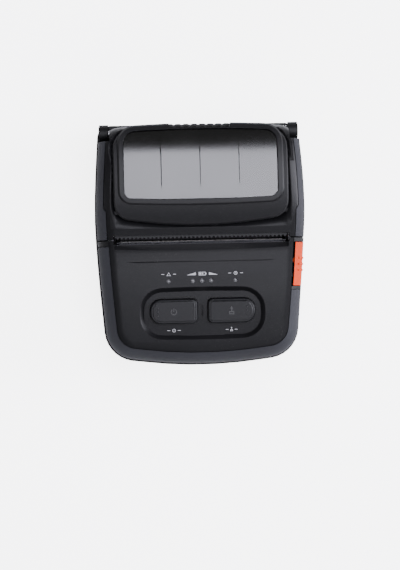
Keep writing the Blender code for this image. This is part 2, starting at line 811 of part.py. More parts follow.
def lower_case():
    material = black_plastic()
    rings = edge_rings(CASE_SHAPE, BASE_EDGE, 0.0)
    rings.append(ring(CASE_SHAPE, 0.0, LEDGE_HEIGHT - SHEET / 2))
    rings.append(ring(CASE_SHAPE, SHEET / 2, LEDGE_HEIGHT))
    case = loft("lower_case", rings, material)
    add(case, case_rim(material))
    wall_low = (-PLATE_OUTER, BAY_REAR_Y - WALL - FIT_GAP, LEDGE_HEIGHT - THIN_WALL)
    bay_rear = block(
        "bay_rear_wall", wall_low, (PLATE_OUTER, BAY_REAR_Y, BAY_WALL_TOP), material
    )
    outer_rear = block(
        "outer_rear_wall",
        (-PLATE_OUTER, HALF_LENGTH - WALL - FIT_GAP, LEDGE_HEIGHT - THIN_WALL),
        (PLATE_OUTER, HALF_LENGTH - FIT_GAP, REAR_WALL_TOP),
        material,
    )
    add(case, bay_rear, outer_rear, *centre_knuckle(material))
    for side, word in ((-1, "left"), (1, "right")):
        low, high = sorted((side * (BAY_HALF - FIT_GAP), side * (BAY_HALF + BAY_WALL)))
        wall = block(
            f"bay_wall_{word}",
            (low, GEAR_WELL_REAR - FIT_GAP, LEDGE_HEIGHT - THIN_WALL),
            (high, BAY_REAR_Y - FIT_GAP, BAY_WALL_TOP - FIT_GAP),
            material,
        )
        add(case, wall, *hinge_block(side, material))
    front_wall = block(
        "bay_front_wall",
        (-PLATE_INNER + FIT_GAP * 2, BAY_FRONT_Y - WALL / 2, LEDGE_HEIGHT - THIN_WALL),
        (PLATE_INNER - FIT_GAP * 2, BAY_FRONT_Y + FIT_GAP, REAR_WALL_TOP),
        material,
    )
    add(case, front_wall)
    cut(case, case_cavity(material), *bay_cutters(material), *battery_cutters(material))
    for k, (x, y) in enumerate(post_places()):
        add(case, rod(f"post_{k}", "Z", (x, y), POST_RADIUS, FLOOR / 2, POST_TOP, material))
        head = rod(
            f"post_head_{k}", "Z", (x, y), SCREW_HEAD_RADIUS + FIT_GAP, -OVERRUN, SCREW_SEAT, material
        )
        shank = rod(
            f"post_hole_{k}", "Z", (x, y), SCREW_SHANK_RADIUS + FIT_GAP, 0.0, POST_TOP + OVERRUN, material
        )
        cut(case, head, shank)
    for side, word in ((-1, "left"), (1, "right")):
        for place, (low_y, high_y) in (("front", SHELF_FRONT), ("rear", SHELF_REAR)):
            low, high = sorted((side * SHELF_INNER, side * (HALF_WIDTH - WALL)))
            shelf = block(
                f"shelf_{place}_{word}", (low, low_y, SHELF_BOTTOM), (high, high_y, SHELF_TOP), material
            )
            add(case, shelf)
        cut(case, chassis_screw_shape(side, f"shelf_hole_{word}", FIT_GAP, material))
    cut(case, *port_cutters(material))
    for side, word in ((-1, "left"), (1, "right")):
        low, high = sorted((0.0, side * (BLOCK_INNER + BLOCK_WIDTH - THIN_WALL)))
        cut(
            case,
            rod(f"pin_bore_{word}", "X", (HINGE_Y, HINGE_Z), PIN_RADIUS + FIT_GAP, low, high, material, 16),
        )
    pin = rod("pinion_pin", "Z", (0.0, ROLL_Y), PINION_PIN_RADIUS, FLOOR / 2, RACK_HIGH, material, 16)
    add(case, pin)
    for side, word, front_y in ((-1, "left", LEFT_ARM_Y), (1, "right", RIGHT_ARM_Y)):
        patch = band(
            f"shoulder_{word}",
            strip_section(COVER_SHAPE, BUMPER_THETA, LEDGE_HEIGHT - SHEET, STRIP_THICKNESS),
            material,
        )
        span = (front_y + FIT_GAP, SEAM_Y - FIT_GAP)
        heights = (0.0, CROWN_HEIGHT)
        keep(patch, side_slab(f"shoulder_keep_{word}", side, (-OVERRUN, HALF_WIDTH / 2), span, heights, material))
        add(case, patch)
    add(case, *board_stands(material))
    cut(case, terminal_opening(material), release_slab("case_button_slot", RELEASE_TRAVEL, material))
    return case


def strip_section(shape, theta_end, base, depth, widen=0.0):
    """Rings of a strip round the shoulder, from base up to theta_end; widen grows it outwards."""
    steps = 5
    end_inset, end_drop = skin_point(theta_end, 0.0)
    outer = [ring(shape, EDGE_BAND - widen, base)]
    inner = [ring(shape, EDGE_BAND + depth, base)]
    for k in range(steps + 1):
        outer.append(skin_ring(shape, theta_end * k / steps, -widen))
    for k in range(steps):
        inner.append(skin_ring(shape, theta_end * k / steps, depth))
    outer.append(ring(shape, end_inset + widen, below_top(end_drop - widen)))
    inner.append(ring(shape, end_inset + widen, below_top(end_drop + depth)))
    return outer[:-1] + ([outer[-1]] if widen else []) + inner[::-1]


def front_bumper():
    material = grey_rubber()
    section = strip_section(COVER_SHAPE, BUMPER_THETA, LEDGE_HEIGHT + FIT_GAP, STRIP_THICKNESS)
    bumper = band("front_bumper", section, material)
    for side, word, rear_y in ((-1, "left", LEFT_ARM_Y), (1, "right", RIGHT_ARM_Y)):
        span = (rear_y, HALF_LENGTH + OVERRUN)
        low, high = sorted((0.0, side * (HALF_WIDTH + OVERRUN)))
        cut(
            bumper,
            block(f"arm_end_{word}", (low, span[0], 0.0), (high, span[1], CROWN_HEIGHT), material),
        )
    return bumper


# Orange release button on the right shoulder
RELEASE_FRONT_Y = -0.0217
RELEASE_REAR_Y = -0.0005
RELEASE_THETA = 60.0
RELEASE_RISE = 0.0065
RELEASE_LOW = LEDGE_HEIGHT + RELEASE_RISE
RELEASE_TRAVEL = 0.0012
RELEASE_DEPTH = 0.0024
RELEASE_RIBS = 3
RELEASE_RIB_PITCH = 0.0030
RELEASE_RIB_RADIUS = 0.0006
RELEASE_RIB_THETAS = (15.0, 45.0)
LEVER_ARM = 0.0061
LEVER_RISE = 0.0020
LEVER_THICKNESS = 0.0012
LEVER_INNER = PLATE_OUTER + FIT_GAP
LEVER_OUTER = LEVER_INNER + LEVER_THICKNESS


def release_slab(name, gap, material):
    """The space of the release button, with a gap all round it."""
    inner = skin_point(RELEASE_THETA, 0.0)[0]
    return side_slab(
        name,
        1,
        (-OVERRUN, inner + gap),
        (RELEASE_FRONT_Y - FIT_GAP, RELEASE_REAR_Y + FIT_GAP),
        (RELEASE_LOW - gap * math.cos(math.pi / 4) - FIT_GAP, CROWN_HEIGHT),
        material,
    )


def release_button():
    """The orange key. It follows the shoulder and is pushed in at 45 degrees, onto the latch lever."""
    material = orange_plastic()
    section = strip_section(COVER_SHAPE, RELEASE_THETA, RELEASE_LOW, RELEASE_DEPTH)
    button = band("release_button", section, material)
    middle_y = (RELEASE_FRONT_Y + RELEASE_REAR_Y) / 2
    keep(
        button,
        side_slab(
            "release_keep",
            1,
            (-OVERRUN, HALF_WIDTH / 2),
            (RELEASE_FRONT_Y, RELEASE_REAR_Y),
            (0.0, CROWN_HEIGHT),
            material,
        ),
    )
    pusher_y = LATCH_Y - LEVER_ARM
    pusher = block(
        "release_pusher",
        (
            PLATE_OUTER + FIT_GAP + RELEASE_TRAVEL * math.cos(math.pi / 4),
            pusher_y - SHEET,
            LATCH_Z + LEVER_RISE + LEVER_THICKNESS + RUNNING_GAP,
        ),
        (HALF_WIDTH - EDGE_BAND - RELEASE_DEPTH, pusher_y + SHEET, RELEASE_LOW + LEVER_ARM),
        material,
    )
    add(button, pusher)
    low, high = (skin_point(theta, 0.0) for theta in RELEASE_RIB_THETAS)
    for k in range(RELEASE_RIBS):
        y = middle_y + (k - (RELEASE_RIBS - 1) / 2) * RELEASE_RIB_PITCH
        ends = [
            Vector((body_width(y) - inset, y, top_height(y) - drop)) for inset, drop in (low, high)
        ]
        add(button, bar_between(f"release_rib_{k}", ends, RELEASE_RIB_RADIUS, material))
    return button


def bar_between(name, ends, radius, material, count=8):
    """A round bar from one point to another."""
    along = (ends[1] - ends[0]).normalized()
    across = along.cross(Vector((0.0, 1.0, 0.0))).normalized()
    up = along.cross(across)
    rings = []
    for end in ends:
        rings.append(
            [end + across * x + up * y for x, y in circle((0.0, 0.0), radius, count)]
        )
    return stack(name, rings, material)


# Front cover
SKIRT_WIDTH = 0.0014
SKIRT_DROP = 0.0070
SCOOP_DEPTH = 0.0009
SCOOP_CENTRE_Y = -0.0037
SCOOP_END_Y = -0.0025
CREASE_MARGIN = 0.0031
CREASE_HALF = SLOT_HALF - CREASE_MARGIN
CREASE_REAR_Y = -0.0084
CREASE_FRONT_Y = -0.0106
CREASE_DEPTH = 0.00035
CREASE_STEPS = 10


def skin_drop(inset):
    """Drop of the skin at an inset from the body's outline."""
    share = min(1.0, (inset - EDGE_BAND) / SHOULDER)
    return SHOULDER * (1 - math.sqrt(1 - (1 - share) ** 2))


def cover_plate(material):
    edge = skin_point(BUMPER_THETA, 0.0)[0] + FIT_GAP
    flat = EDGE_BAND + SHOULDER
    skirt_outer = RIM_INNER_INSET + FIT_GAP
    skirt_inner = skirt_outer + SKIRT_WIDTH
    under = STRIP_THICKNESS + FIT_GAP

    def under_bumper(inset):
        reach = SHOULDER - under
        return SHOULDER - math.sqrt(max(0.0, reach**2 - (flat - inset) ** 2))

    rings = [
        ring(COVER_SHAPE, flat, below_top(COVER_THICKNESS)),
        ring(COVER_SHAPE, edge + SKIRT_WIDTH, below_top(skin_drop(edge) + COVER_THICKNESS * 1.5)),
        ring(COVER_SHAPE, skirt_inner, below_top(SKIRT_DROP)),
        ring(COVER_SHAPE, skirt_outer, below_top(SKIRT_DROP)),
        ring(COVER_SHAPE, skirt_outer, below_top(under_bumper(skirt_outer))),
        ring(COVER_SHAPE, skirt_inner, below_top(under_bumper(skirt_inner))),
        ring(COVER_SHAPE, edge, below_top(skin_drop(edge) + COVER_THICKNESS)),
        ring(COVER_SHAPE, edge, below_top(skin_drop(edge))),
        skin_ring(COVER_SHAPE, 78.0, 0.0),
        ring(COVER_SHAPE, flat, top_height),
    ]
    return loft("front_cover", rings, material)


def slot_cutters(material):
    """The cover's rear edge, the slot for the media and the shallow scoop in front of it."""
    behind = block(
        "cover_rear",
        (-HALF_WIDTH, SEAM_Y - FIT_GAP, 0.0),
        (HALF_WIDTH, HALF_LENGTH + OVERRUN, CROWN_HEIGHT + OVERRUN),
        material,
    )
    slot = block(
        "cover_slot",
        (-SLOT_HALF, TEAR_Y - FIT_GAP, 0.0),
        (SLOT_HALF, HALF_LENGTH, CROWN_HEIGHT + OVERRUN),
        material,
    )
    slot_height = top_height(0.0)
    half = SLOT_HALF - FIT_GAP
    front = [(-half, SCOOP_END_Y), (-half / 2, SCOOP_CENTRE_Y + FIT_GAP), (0.0, SCOOP_CENTRE_Y)]
    front += [(half / 2, SCOOP_CENTRE_Y + FIT_GAP), (half, SCOOP_END_Y)]
    rear = [(half, OVERRUN), (-half, OVERRUN)]
    upper = front + rear
    lower = [(x, -FIT_GAP) for x, y in front] + rear
    rings = [
        [Vector((x, y, slot_height - SCOOP_DEPTH)) for x, y in lower],
        [Vector((x, y, slot_height + FIT_GAP)) for x, y in upper],
        [Vector((x, y, slot_height + OVERRUN)) for x, y in upper],
    ]
    return [behind, slot, stack("cover_scoop", rings, material)]


def crease_cutter(material):
    """The shallow crescent that folds the cover in front of the slot, deepest along its front edge."""
    shares = [2 * k / CREASE_STEPS - 1 for k in range(CREASE_STEPS + 1)]
    front = [
        (share * CREASE_HALF, CREASE_FRONT_Y + (CREASE_REAR_Y - CREASE_FRONT_Y) * share**2)
        for share in shares[1:-1]
    ]
    rear = [(CREASE_HALF, CREASE_REAR_Y), (0.0, CREASE_REAR_Y), (-CREASE_HALF, CREASE_REAR_Y)]
    floor = [Vector((x, y, top_height(y) - CREASE_DEPTH)) for x, y in front]
    floor += [Vector((x, y, top_height(y))) for x, y in rear]
    lid = [Vector((x, y, top_height(CREASE_REAR_Y) + OVERRUN)) for x, y in front + rear]
    return stack("cover_crease", [floor, lid], material)


def slot_rib(material):
    """A rib that keeps the cover's edge stiff along the slot."""
    half = HOOK_INNER - FIT_GAP
    return block(
        "slot_rib",
        (-half, SCOOP_CENTRE_Y - SHEET, HEAD_HIGH + SHEET + FIT_GAP / 3),
        (half, TEAR_Y - FIT_GAP - FIT_GAP / 3, top_height(0.0) - COVER_THICKNESS / 3),
        material,
    )


def release_undercut(material):
    """The space that the pressed button takes under the cover's edge, which leans as the button moves."""
    inset, drop = skin_point(RELEASE_THETA, 0.0)
    shift = RELEASE_TRAVEL * math.cos(math.pi / 4)
    section = (
        (FIT_GAP - SHEET, SHEET),
        (FIT_GAP + shift, -shift),
        (FIT_GAP + shift, -SKIRT_DROP - FIT_GAP),
        (-OVERRUN / 2, -SKIRT_DROP - FIT_GAP),
        (-OVERRUN / 2, SHEET),
    )
    count = len(SIDE_SHARES)
    low, high = RELEASE_FRONT_Y - FIT_GAP, RELEASE_REAR_Y + FIT_GAP
    rings = []
    for k in range(count + 1):
        y = low + (high - low) * k / count
        edge_x, edge_z = body_width(y) - inset, top_height(y) - drop
        rings.append([Vector((edge_x - inward, y, edge_z + rise)) for inward, rise in section])
    return stack("cover_button_undercut", rings, material)



def lamp_places():
    return [-LAMP_OUTER_X, -LAMP_BATTERY_STEP, 0.0, LAMP_BATTERY_STEP, LAMP_OUTER_X]


def recess_cutter(material):
    """The dished recess round the two buttons."""
    rings = [
        ring(RECESS_SHAPE, RECESS_SLOPE, below_top(RECESS_DEPTH)),
        ring(RECESS_SHAPE, 0.0, below_top(-FIT_GAP)),
        ring(RECESS_SHAPE, 0.0, below_top(-OVERRUN)),
    ]
    return loft("recess", rings, material)


def panel_normal():
    """Outward direction of the panel under the buttons."""
    rise = top_height(BUTTON_REAR_Y) - top_height(BUTTON_FRONT_Y)
    return Vector((0.0, -rise, BUTTON_REAR_Y - BUTTON_FRONT_Y)).normalized()


BUTTON_INNER_CORNER = 0.0022
BUTTON_OUTER_CORNER = 0.0052
BUTTON_EDGE = 0.0007
BUTTON_FLANGE = 0.0009
BUTTON_STEM = 0.0048


def button_outline(side, inset):
    """Outline of one button: small corners at the middle of the panel, large ones outside."""
    outline = []
    corners = (
        (BUTTON_INNER, BUTTON_FRONT_Y, BUTTON_INNER_CORNER, 180.0),
        (BUTTON_OUTER, BUTTON_FRONT_Y, BUTTON_OUTER_CORNER, 270.0),
        (BUTTON_OUTER, BUTTON_REAR_Y, BUTTON_OUTER_CORNER, 0.0),
        (BUTTON_INNER, BUTTON_REAR_Y, BUTTON_INNER_CORNER, 90.0),
    )
    for x, y, radius, start in corners:
        centre_x = x + radius if x == BUTTON_INNER else x - radius
        centre_y = y + radius if y == BUTTON_FRONT_Y else y - radius
        for k in range(5):
            angle = math.radians(start + 90.0 * k / 4)
            outline.append(
                (
                    side * (centre_x + (radius - inset) * math.cos(angle)),
                    centre_y + (radius - inset) * math.sin(angle),
                )
            )
    return outline


def button_ring(side, inset, rise):
    """The outline laid on the panel, rise above its skin along the panel's normal."""
    normal = panel_normal()
    return [
        Vector((x, y, top_height(y))) + normal * rise for x, y in button_outline(side, inset)
    ]


def button_hole(side, word, material):
    rings = [button_ring(side, -FIT_GAP, -BUTTON_STEM), button_ring(side, -FIT_GAP, OVERRUN)]
    return stack(f"button_hole_{word}", rings, material)


def button_key(name, side, material):
    """A key whose flange sits under the panel and whose edge is rounded on top."""
    floor = RECESS_DEPTH + COVER_THICKNESS
    rings = [
        button_ring(side, BUTTON_FLANGE, -BUTTON_STEM - FIT_GAP),
        button_ring(side, -BUTTON_FLANGE, -BUTTON_STEM),
        button_ring(side, -BUTTON_FLANGE, -floor - FIT_GAP * 2),
        button_ring(side, 0.0, -floor - FIT_GAP * 2),
        button_ring(side, 0.0, BUTTON_RISE - BUTTON_EDGE),
        button_ring(side, BUTTON_EDGE / 3, BUTTON_RISE - BUTTON_EDGE / 3),
        button_ring(side, BUTTON_EDGE, BUTTON_RISE),
    ]
    return stack(name, rings, material)


def front_cover():
    material = charcoal_plastic()
    cover = cover_plate(material)
    thick = loft(
        "recess_floor",
        [
            ring(RECESS_SHAPE, 0.0, below_top(RECESS_DEPTH + COVER_THICKNESS)),
            ring(RECESS_SHAPE, -THIN_WALL / 2, below_top(COVER_THICKNESS / 2)),
        ],
        material,
    )
    add(cover, thick)
    for k, (x, y) in enumerate(post_places()):
        top = top_height(y) - (BOSS_FRONT_DROP if y == POST_FRONT_Y else COVER_THICKNESS / 2)
        boss = rod(f"cover_boss_{k}", "Z", (x, y), POST_RADIUS, POST_TOP + FIT_GAP, top, material, 16)
        hole_top = SCREW_SEAT + SCREW_LENGTH + RUNNING_GAP
        hole = rod(
            f"cover_boss_hole_{k}",
            "Z",
            (x, y),
            SCREW_SHANK_RADIUS + FIT_GAP,
            0.0,
            hole_top,
            material,
            16,
        )
        add(cover, boss)
        cut(cover, hole)
    add(cover, slot_rib(material))
    cut(cover, *slot_cutters(material), recess_cutter(material), crease_cutter(material))
    cut(cover, button_hole(-1, "power", material), button_hole(1, "feed", material))
    for k, x in enumerate(lamp_places()):
        cut(
            cover,
            rod(f"lamp_hole_{k}", "Z", (x, LAMP_Y), LAMP_RADIUS + FIT_GAP, 0.0, CROWN_HEIGHT, material, 12),
        )
    for side, word in ((-1, "left"), (1, "right")):
        low, high = sorted((side * PLATE_INNER, side * (GEAR_OUTER + RUNNING_GAP)))
        relief = block(
            f"gear_relief_{word}",
            (low, -SHEET, 0.0),
            (high, SEAM_Y + OVERRUN, HEAD_HIGH + SHEET / 2),
            material,
        )
        cut(cover, relief)
    add(cover, *key_posts(material))
    cut(cover, release_slab("cover_button_slot", FIT_GAP, material), release_undercut(material))
    return cover


# Chassis, motor and gears
PLATE_REAR_Y = 0.0115
PLATE_NOTCH_RISE = 0.0011
PLATE_FRONT_DROP = 0.0030
PLATE_NOTCH_TOP = PLATEN_Z + PLATE_NOTCH_RISE
PLATE_FRONT_TOP = PLATEN_Z - PLATE_FRONT_DROP
BACK_WALL_Y = -0.0080
BACK_WALL_LEFT = -0.0220
BACK_WALL_RISE = 0.0013
BACK_WALL_TOP = PLATEN_Z + BACK_WALL_RISE
TIE_FRONT_Y = -0.0024
TIE_REAR_Y = -0.0008
HEAD_ARM_X = 0.0200
HEAD_ARM_DROP = 0.0075
HEAD_ARM_HEIGHT = 0.0020
HEAD_ARM_LOW = PLATEN_Z - HEAD_ARM_DROP
HEAD_ARM_HIGH = HEAD_ARM_LOW + HEAD_ARM_HEIGHT
HEAD_SPRING_X = 0.0120
HEAD_SPRING_DROP = 0.0010
HEAD_SPRING_Z = PLATEN_Z - HEAD_SPRING_DROP
HEAD_SPRING_RADIUS = 0.0018
HEAD_SPRING_WIRE = 0.0005
HEAD_SPRING_TURNS = 3
FLANGE_WIDTH = 0.0028
MOTOR_RADIUS = 0.0085
MOTOR_FACE = HOOK_INNER - FIT_GAP
MOTOR_LENGTH = 0.0160
MOTOR_SHAFT_RADIUS = 0.0010
SPACER_RADIUS = 0.0014
SPACER_ANGLES = (235.0, 325.0)
CHASSIS_SCREW_HEAD = 0.0009
CHASSIS_SCREW_LENGTH = 0.0030


def gear_distance(first, second):
    return GEAR_MODULE * (first + second) / 2


def stepped(centre, distance, degrees):
    angle = math.radians(degrees)
    return (centre[0] + distance * math.cos(angle), centre[1] + distance * math.sin(angle))


PLATEN_AXIS = (PLATEN_Y, PLATEN_Z)
LOWER_AXIS = stepped(PLATEN_AXIS, gear_distance(PLATEN_TEETH, LOWER_TEETH), LOWER_GEAR_ANGLE)
UPPER_AXIS = stepped(LOWER_AXIS, gear_distance(LOWER_TEETH, UPPER_TEETH), UPPER_GEAR_ANGLE)
MOTOR_AXIS = stepped(UPPER_AXIS, gear_distance(UPPER_TEETH, MOTOR_TEETH), MOTOR_GEAR_ANGLE)
LATCH_AXIS = (LATCH_Y, LATCH_Z)

TOOTH_SHARES = ((-0.37, -1.25), (-0.225, 0.0), (-0.10, 0.95), (0.10, 0.95), (0.225, 0.0), (0.37, -1.25))


def gear_outline(centre, teeth, module, phase):
    """Teeth with sloping flanks; a tooth is centred on phase."""
    pitch_radius = module * teeth / 2
    outline = []
    for k in range(teeth):
        for angle_share, height_share in TOOTH_SHARES:
            angle = phase + 2 * math.pi * (k + angle_share) / teeth
            radius = pitch_radius + height_share * module
            outline.append((centre[0] + radius * math.cos(angle), centre[1] + radius * math.sin(angle)))
    return outline


def meshed_phase(phase, teeth, degrees, next_teeth):
    """Phase of the next gear, which lies at the given angle, so that its gap meets a tooth."""
    direction = math.radians(degrees)
    pitch = 2 * math.pi / teeth
    offset = (phase - direction + pitch / 2) % pitch - pitch / 2
    return direction + math.pi - offset * teeth / next_teeth + math.pi / next_teeth


PLATEN_PHASE = math.radians(LOWER_GEAR_ANGLE)
LOWER_PHASE = meshed_phase(PLATEN_PHASE, PLATEN_TEETH, LOWER_GEAR_ANGLE, LOWER_TEETH)
UPPER_PHASE = meshed_phase(LOWER_PHASE, LOWER_TEETH, UPPER_GEAR_ANGLE, UPPER_TEETH)
MOTOR_PHASE = meshed_phase(UPPER_PHASE, UPPER_TEETH, MOTOR_GEAR_ANGLE, MOTOR_TEETH)


def train_gear(name, centre, teeth, phase, bore):
    """One gear of the drive on the printer's left, bored for its stud or shaft."""
    material = gear_nylon()
    gear = prism(
        name, gear_outline(centre, teeth, GEAR_MODULE, phase), "X", -GEAR_OUTER, -GEAR_INNER, material
    )
    if bore:
        cut(
            gear,
            rod(
                f"{name}_bore",
                "X",
                centre,
                bore,
                -GEAR_OUTER - OVERRUN,
                -GEAR_INNER + OVERRUN,
                material,
                14,
            ),
        )
    return gear


def plate_outline():
    """Side plate of the chassis, with the open notch that takes a platen bush."""
    notch = BUSH_RADIUS + FIT_GAP
    outline = [
        (PLATE_FRONT_Y, PLATE_BOTTOM),
        (PLATE_REAR_Y, PLATE_BOTTOM),
        (PLATE_REAR_Y, PLATE_NOTCH_TOP - SHEET),
        (PLATEN_Y + notch, PLATE_NOTCH_TOP),
    ]
    for k in range(9):
        angle = -math.pi * k / 8
        outline.append((PLATEN_Y + notch * math.cos(angle), PLATEN_Z + notch * math.sin(angle)))
    outline += [
        (PLATEN_Y - notch, PLATE_NOTCH_TOP),
        (SEAM_Y, PLATE_NOTCH_TOP),
        (PLATE_FRONT_Y, PLATE_FRONT_TOP),
    ]
    return outline


def chassis():
    material = steel()
    frame = prism("chassis", plate_outline(), "X", -PLATE_OUTER, -PLATE_INNER, material)
    add(frame, prism("right_plate", plate_outline(), "X", PLATE_INNER, PLATE_OUTER, material))
    middle = (PLATE_INNER + PLATE_OUTER) / 2
    tie = block(
        "tie",
        (-middle, TIE_FRONT_Y, PLATE_BOTTOM + FIT_GAP / 3),
        (middle, TIE_REAR_Y, PLATE_BOTTOM + SHEET),
        material,
    )
    floor = block(
        "floor_sheet",
        (BACK_WALL_LEFT, BACK_WALL_Y - SHEET / 2, PLATE_BOTTOM + FIT_GAP / 3),
        (middle, TIE_REAR_Y - FIT_GAP, PLATE_BOTTOM + SHEET),
        material,
    )
    wall = block(
        "back_wall",
        (BACK_WALL_LEFT, BACK_WALL_Y - SHEET / 2, PLATE_BOTTOM + SHEET / 2),
        (PLATE_INNER + SHEET / 4, BACK_WALL_Y + SHEET / 2, BACK_WALL_TOP),
        material,
    )
    add(frame, tie, floor, wall)
    for side, word in ((-1, "left"), (1, "right")):
        arm = block(
            f"head_arm_{word}",
            (side * HEAD_ARM_X - SHEET / 2, BACK_WALL_Y, HEAD_ARM_LOW),
            (side * HEAD_ARM_X + SHEET / 2, HEAD_REAR_Y - FIT_GAP, HEAD_ARM_HIGH),
            material,
        )
        add(frame, arm)
        low, high = sorted((side * middle, side * (PLATE_OUTER + FLANGE_WIDTH)))
        flange = block(
            f"flange_{word}",
            (low, SHELF_FRONT[0], PLATE_BOTTOM + FIT_GAP / 3),
            (high, SHELF_FRONT[1], PLATE_BOTTOM + SHEET),
            material,
        )
        add(frame, flange)
        low, high = sorted((side * (PLATE_INNER - OVERRUN), side * (PLATE_OUTER + OVERRUN)))
        cut(
            frame,
            rod(
                f"latch_hole_{word}",
                "X",
                LATCH_AXIS,
                LATCH_SHAFT_RADIUS + FIT_GAP,
                low,
                high,
                material,
                14,
            ),
            chassis_screw_shape(side, f"flange_hole_{word}", FIT_GAP, material),
        )
    cut(
        frame,
        rod(
            "motor_shaft_hole",
            "X",
            MOTOR_AXIS,
            MOTOR_SHAFT_RADIUS + FIT_GAP,
            -PLATE_OUTER - OVERRUN,
            -PLATE_INNER + OVERRUN,
            material,
            14,
        ),
    )
    for name, axis in (("lower_stud", LOWER_AXIS), ("upper_stud", UPPER_AXIS)):
        add(frame, rod(name, "X", axis, STUD_RADIUS, -GEAR_OUTER + FIT_GAP, -middle, material, 14))
    for k, degrees in enumerate(SPACER_ANGLES):
        place = stepped(MOTOR_AXIS, MOTOR_RADIUS - SPACER_RADIUS * 2, degrees)
        spacer = rod(
            f"spacer_{k}", "X", place, SPACER_RADIUS, -middle, -MOTOR_FACE - FIT_GAP, material, 12
        )
        add(frame, spacer)
    return frame


def chassis_screw_shape(side, name, widen, material):
    """A round-headed screw through one flange into its shelf."""
    x = side * (PLATE_OUTER + FIT_GAP + CHASSIS_SCREW_HEAD)
    y = (SHELF_FRONT[0] + SHELF_FRONT[1]) / 2
    seat = PLATE_BOTTOM + SHEET + (0.0 if widen else FIT_GAP)
    shank = SCREW_SHANK_RADIUS * 0.6 + widen
    profile = [
        (shank, seat - CHASSIS_SCREW_LENGTH - widen),
        (shank, seat),
        (CHASSIS_SCREW_HEAD, seat),
        (CHASSIS_SCREW_HEAD, seat + SHEET / 2),
        (CHASSIS_SCREW_HEAD / 2, seat + SHEET),
    ]
    if widen:
        profile = [(shank, seat - CHASSIS_SCREW_LENGTH - widen * 2), (shank, seat + OVERRUN)]
    return turned(name, "Z", (x, y), profile, material, 12)


def drive_motor():
    material = steel()
    steps = [
        (MOTOR_RADIUS, -MOTOR_FACE),
        (MOTOR_RADIUS, -MOTOR_FACE + SHEET),
        (MOTOR_RADIUS - SHEET / 2, -MOTOR_FACE + SHEET),
        (MOTOR_RADIUS - SHEET / 2, -MOTOR_FACE + MOTOR_LENGTH - SHEET),
        (MOTOR_RADIUS - SHEET, -MOTOR_FACE + MOTOR_LENGTH),
    ]
    return turned("drive_motor", "X", MOTOR_AXIS, steps, material, 28)


def motor_pinion():
    gear = train_gear("motor_pinion", MOTOR_AXIS, MOTOR_TEETH, MOTOR_PHASE, None)
    shaft = rod(
        "pinion_shaft",
        "X",
        MOTOR_AXIS,
        MOTOR_SHAFT_RADIUS,
        -GEAR_INNER - FIT_GAP,
        -MOTOR_FACE - FIT_GAP,
        gear_nylon(),
        14,
    )
    add(gear, shaft)
    return gear


# Print head
HEAD_FRONT_Y = 0.0006
HEAD_REAR_Y = -0.0025
HEAD_RISE = 0.0032
HEAD_LOW = HEAD_ARM_LOW
HEAD_HIGH = PLATEN_Z + HEAD_RISE
CERAMIC_LOW = HEAD_ARM_HIGH
CERAMIC_THICKNESS = 0.0008
FIN_COUNT = 10
FIN_DEPTH = 0.0012


def head_plate():
    """The aluminium back of the print head, grooved behind for cooling."""
    material = aluminium()
    plate = block(
        "head_plate",
        (-ROLLER_HALF, HEAD_REAR_Y, HEAD_LOW),
        (ROLLER_HALF, HEAD_FRONT_Y, HEAD_HIGH),
        material,
    )
    pitch = 2 * ROLLER_HALF / (FIN_COUNT + 1)
    for k in range(FIN_COUNT):
        x = -ROLLER_HALF + (k + 1) * pitch
        if abs(abs(x) - HEAD_SPRING_X) < HEAD_SPRING_RADIUS * 2:
            continue
        if abs(abs(x) - HEAD_ARM_X) < HEAD_SPRING_RADIUS:
            continue
        cut(
            plate,
            block(
                f"fin_gap_{k}",
                (x - SHEET, HEAD_REAR_Y - OVERRUN, HEAD_LOW + THIN_WALL),
                (x + SHEET, HEAD_REAR_Y + FIN_DEPTH, HEAD_HIGH + OVERRUN),
                material,
            ),
        )
    return plate


def print_head():
    """The ceramic strip with the printing edge, which faces the platen."""
    material = finish("ceramic", (0.62, 0.60, 0.55), 0.35)
    face = PLATEN_Y - PLATEN_RADIUS - FIT_GAP
    low, high = CERAMIC_LOW, HEAD_HIGH - FIT_GAP
    outline = [
        (HEAD_FRONT_Y + FIT_GAP, low),
        (face - FIT_GAP, low),
        (face, PLATEN_Z - SHEET),
        (face, PLATEN_Z + SHEET),
        (face - FIT_GAP, high),
        (HEAD_FRONT_Y + FIT_GAP, high),
    ]
    return prism("print_head", outline, "X", -ROLLER_HALF, ROLLER_HALF, material)


def coil(name, axis, centre, start, end, radius, wire, turns, material, points_per_turn=10):
    """A wound spring along X or Y, as one unbroken tube with straight ends. Prints its least gap to itself."""
    points = []
    lead = wire
    length = end - start - 2 * lead
    count = turns * points_per_turn
    for k in range(count + 1):
        angle = 2 * math.pi * k / points_per_turn
        across = (radius * math.cos(angle), radius * math.sin(angle))
        points.append((start + lead + length * k / count, across))
    points = [(start + wire / 2, points[0][1])] + points + [(end - wire / 2, points[-1][1])]
    places = []
    for along, across in points:
        values = [centre[0] + across[0], centre[1] + across[1]]
        values.insert("XYZ".index(axis), along)
        places.append(Vector(values))
    least = min(
        (places[i] - places[j]).length
        for i in range(len(places))
        for j in range(i + points_per_turn // 2, len(places))
    )
    print(f"{name}: least gap to itself {1000 * (least - wire):.2f} mm")
    curve = bpy.data.curves.new(name, "CURVE")
    curve.dimensions = "3D"
    curve.bevel_depth = wire / 2
    curve.bevel_resolution = 1
    curve.use_fill_caps = True
    spline = curve.splines.new("POLY")
    spline.points.add(len(places) - 1)
    for point, place in zip(spline.points, places):
        point.co = (*place, 1.0)
    obj = bpy.data.objects.new(name, curve)
    bpy.context.scene.collection.objects.link(obj)
    curve.materials.append(material)
    return obj


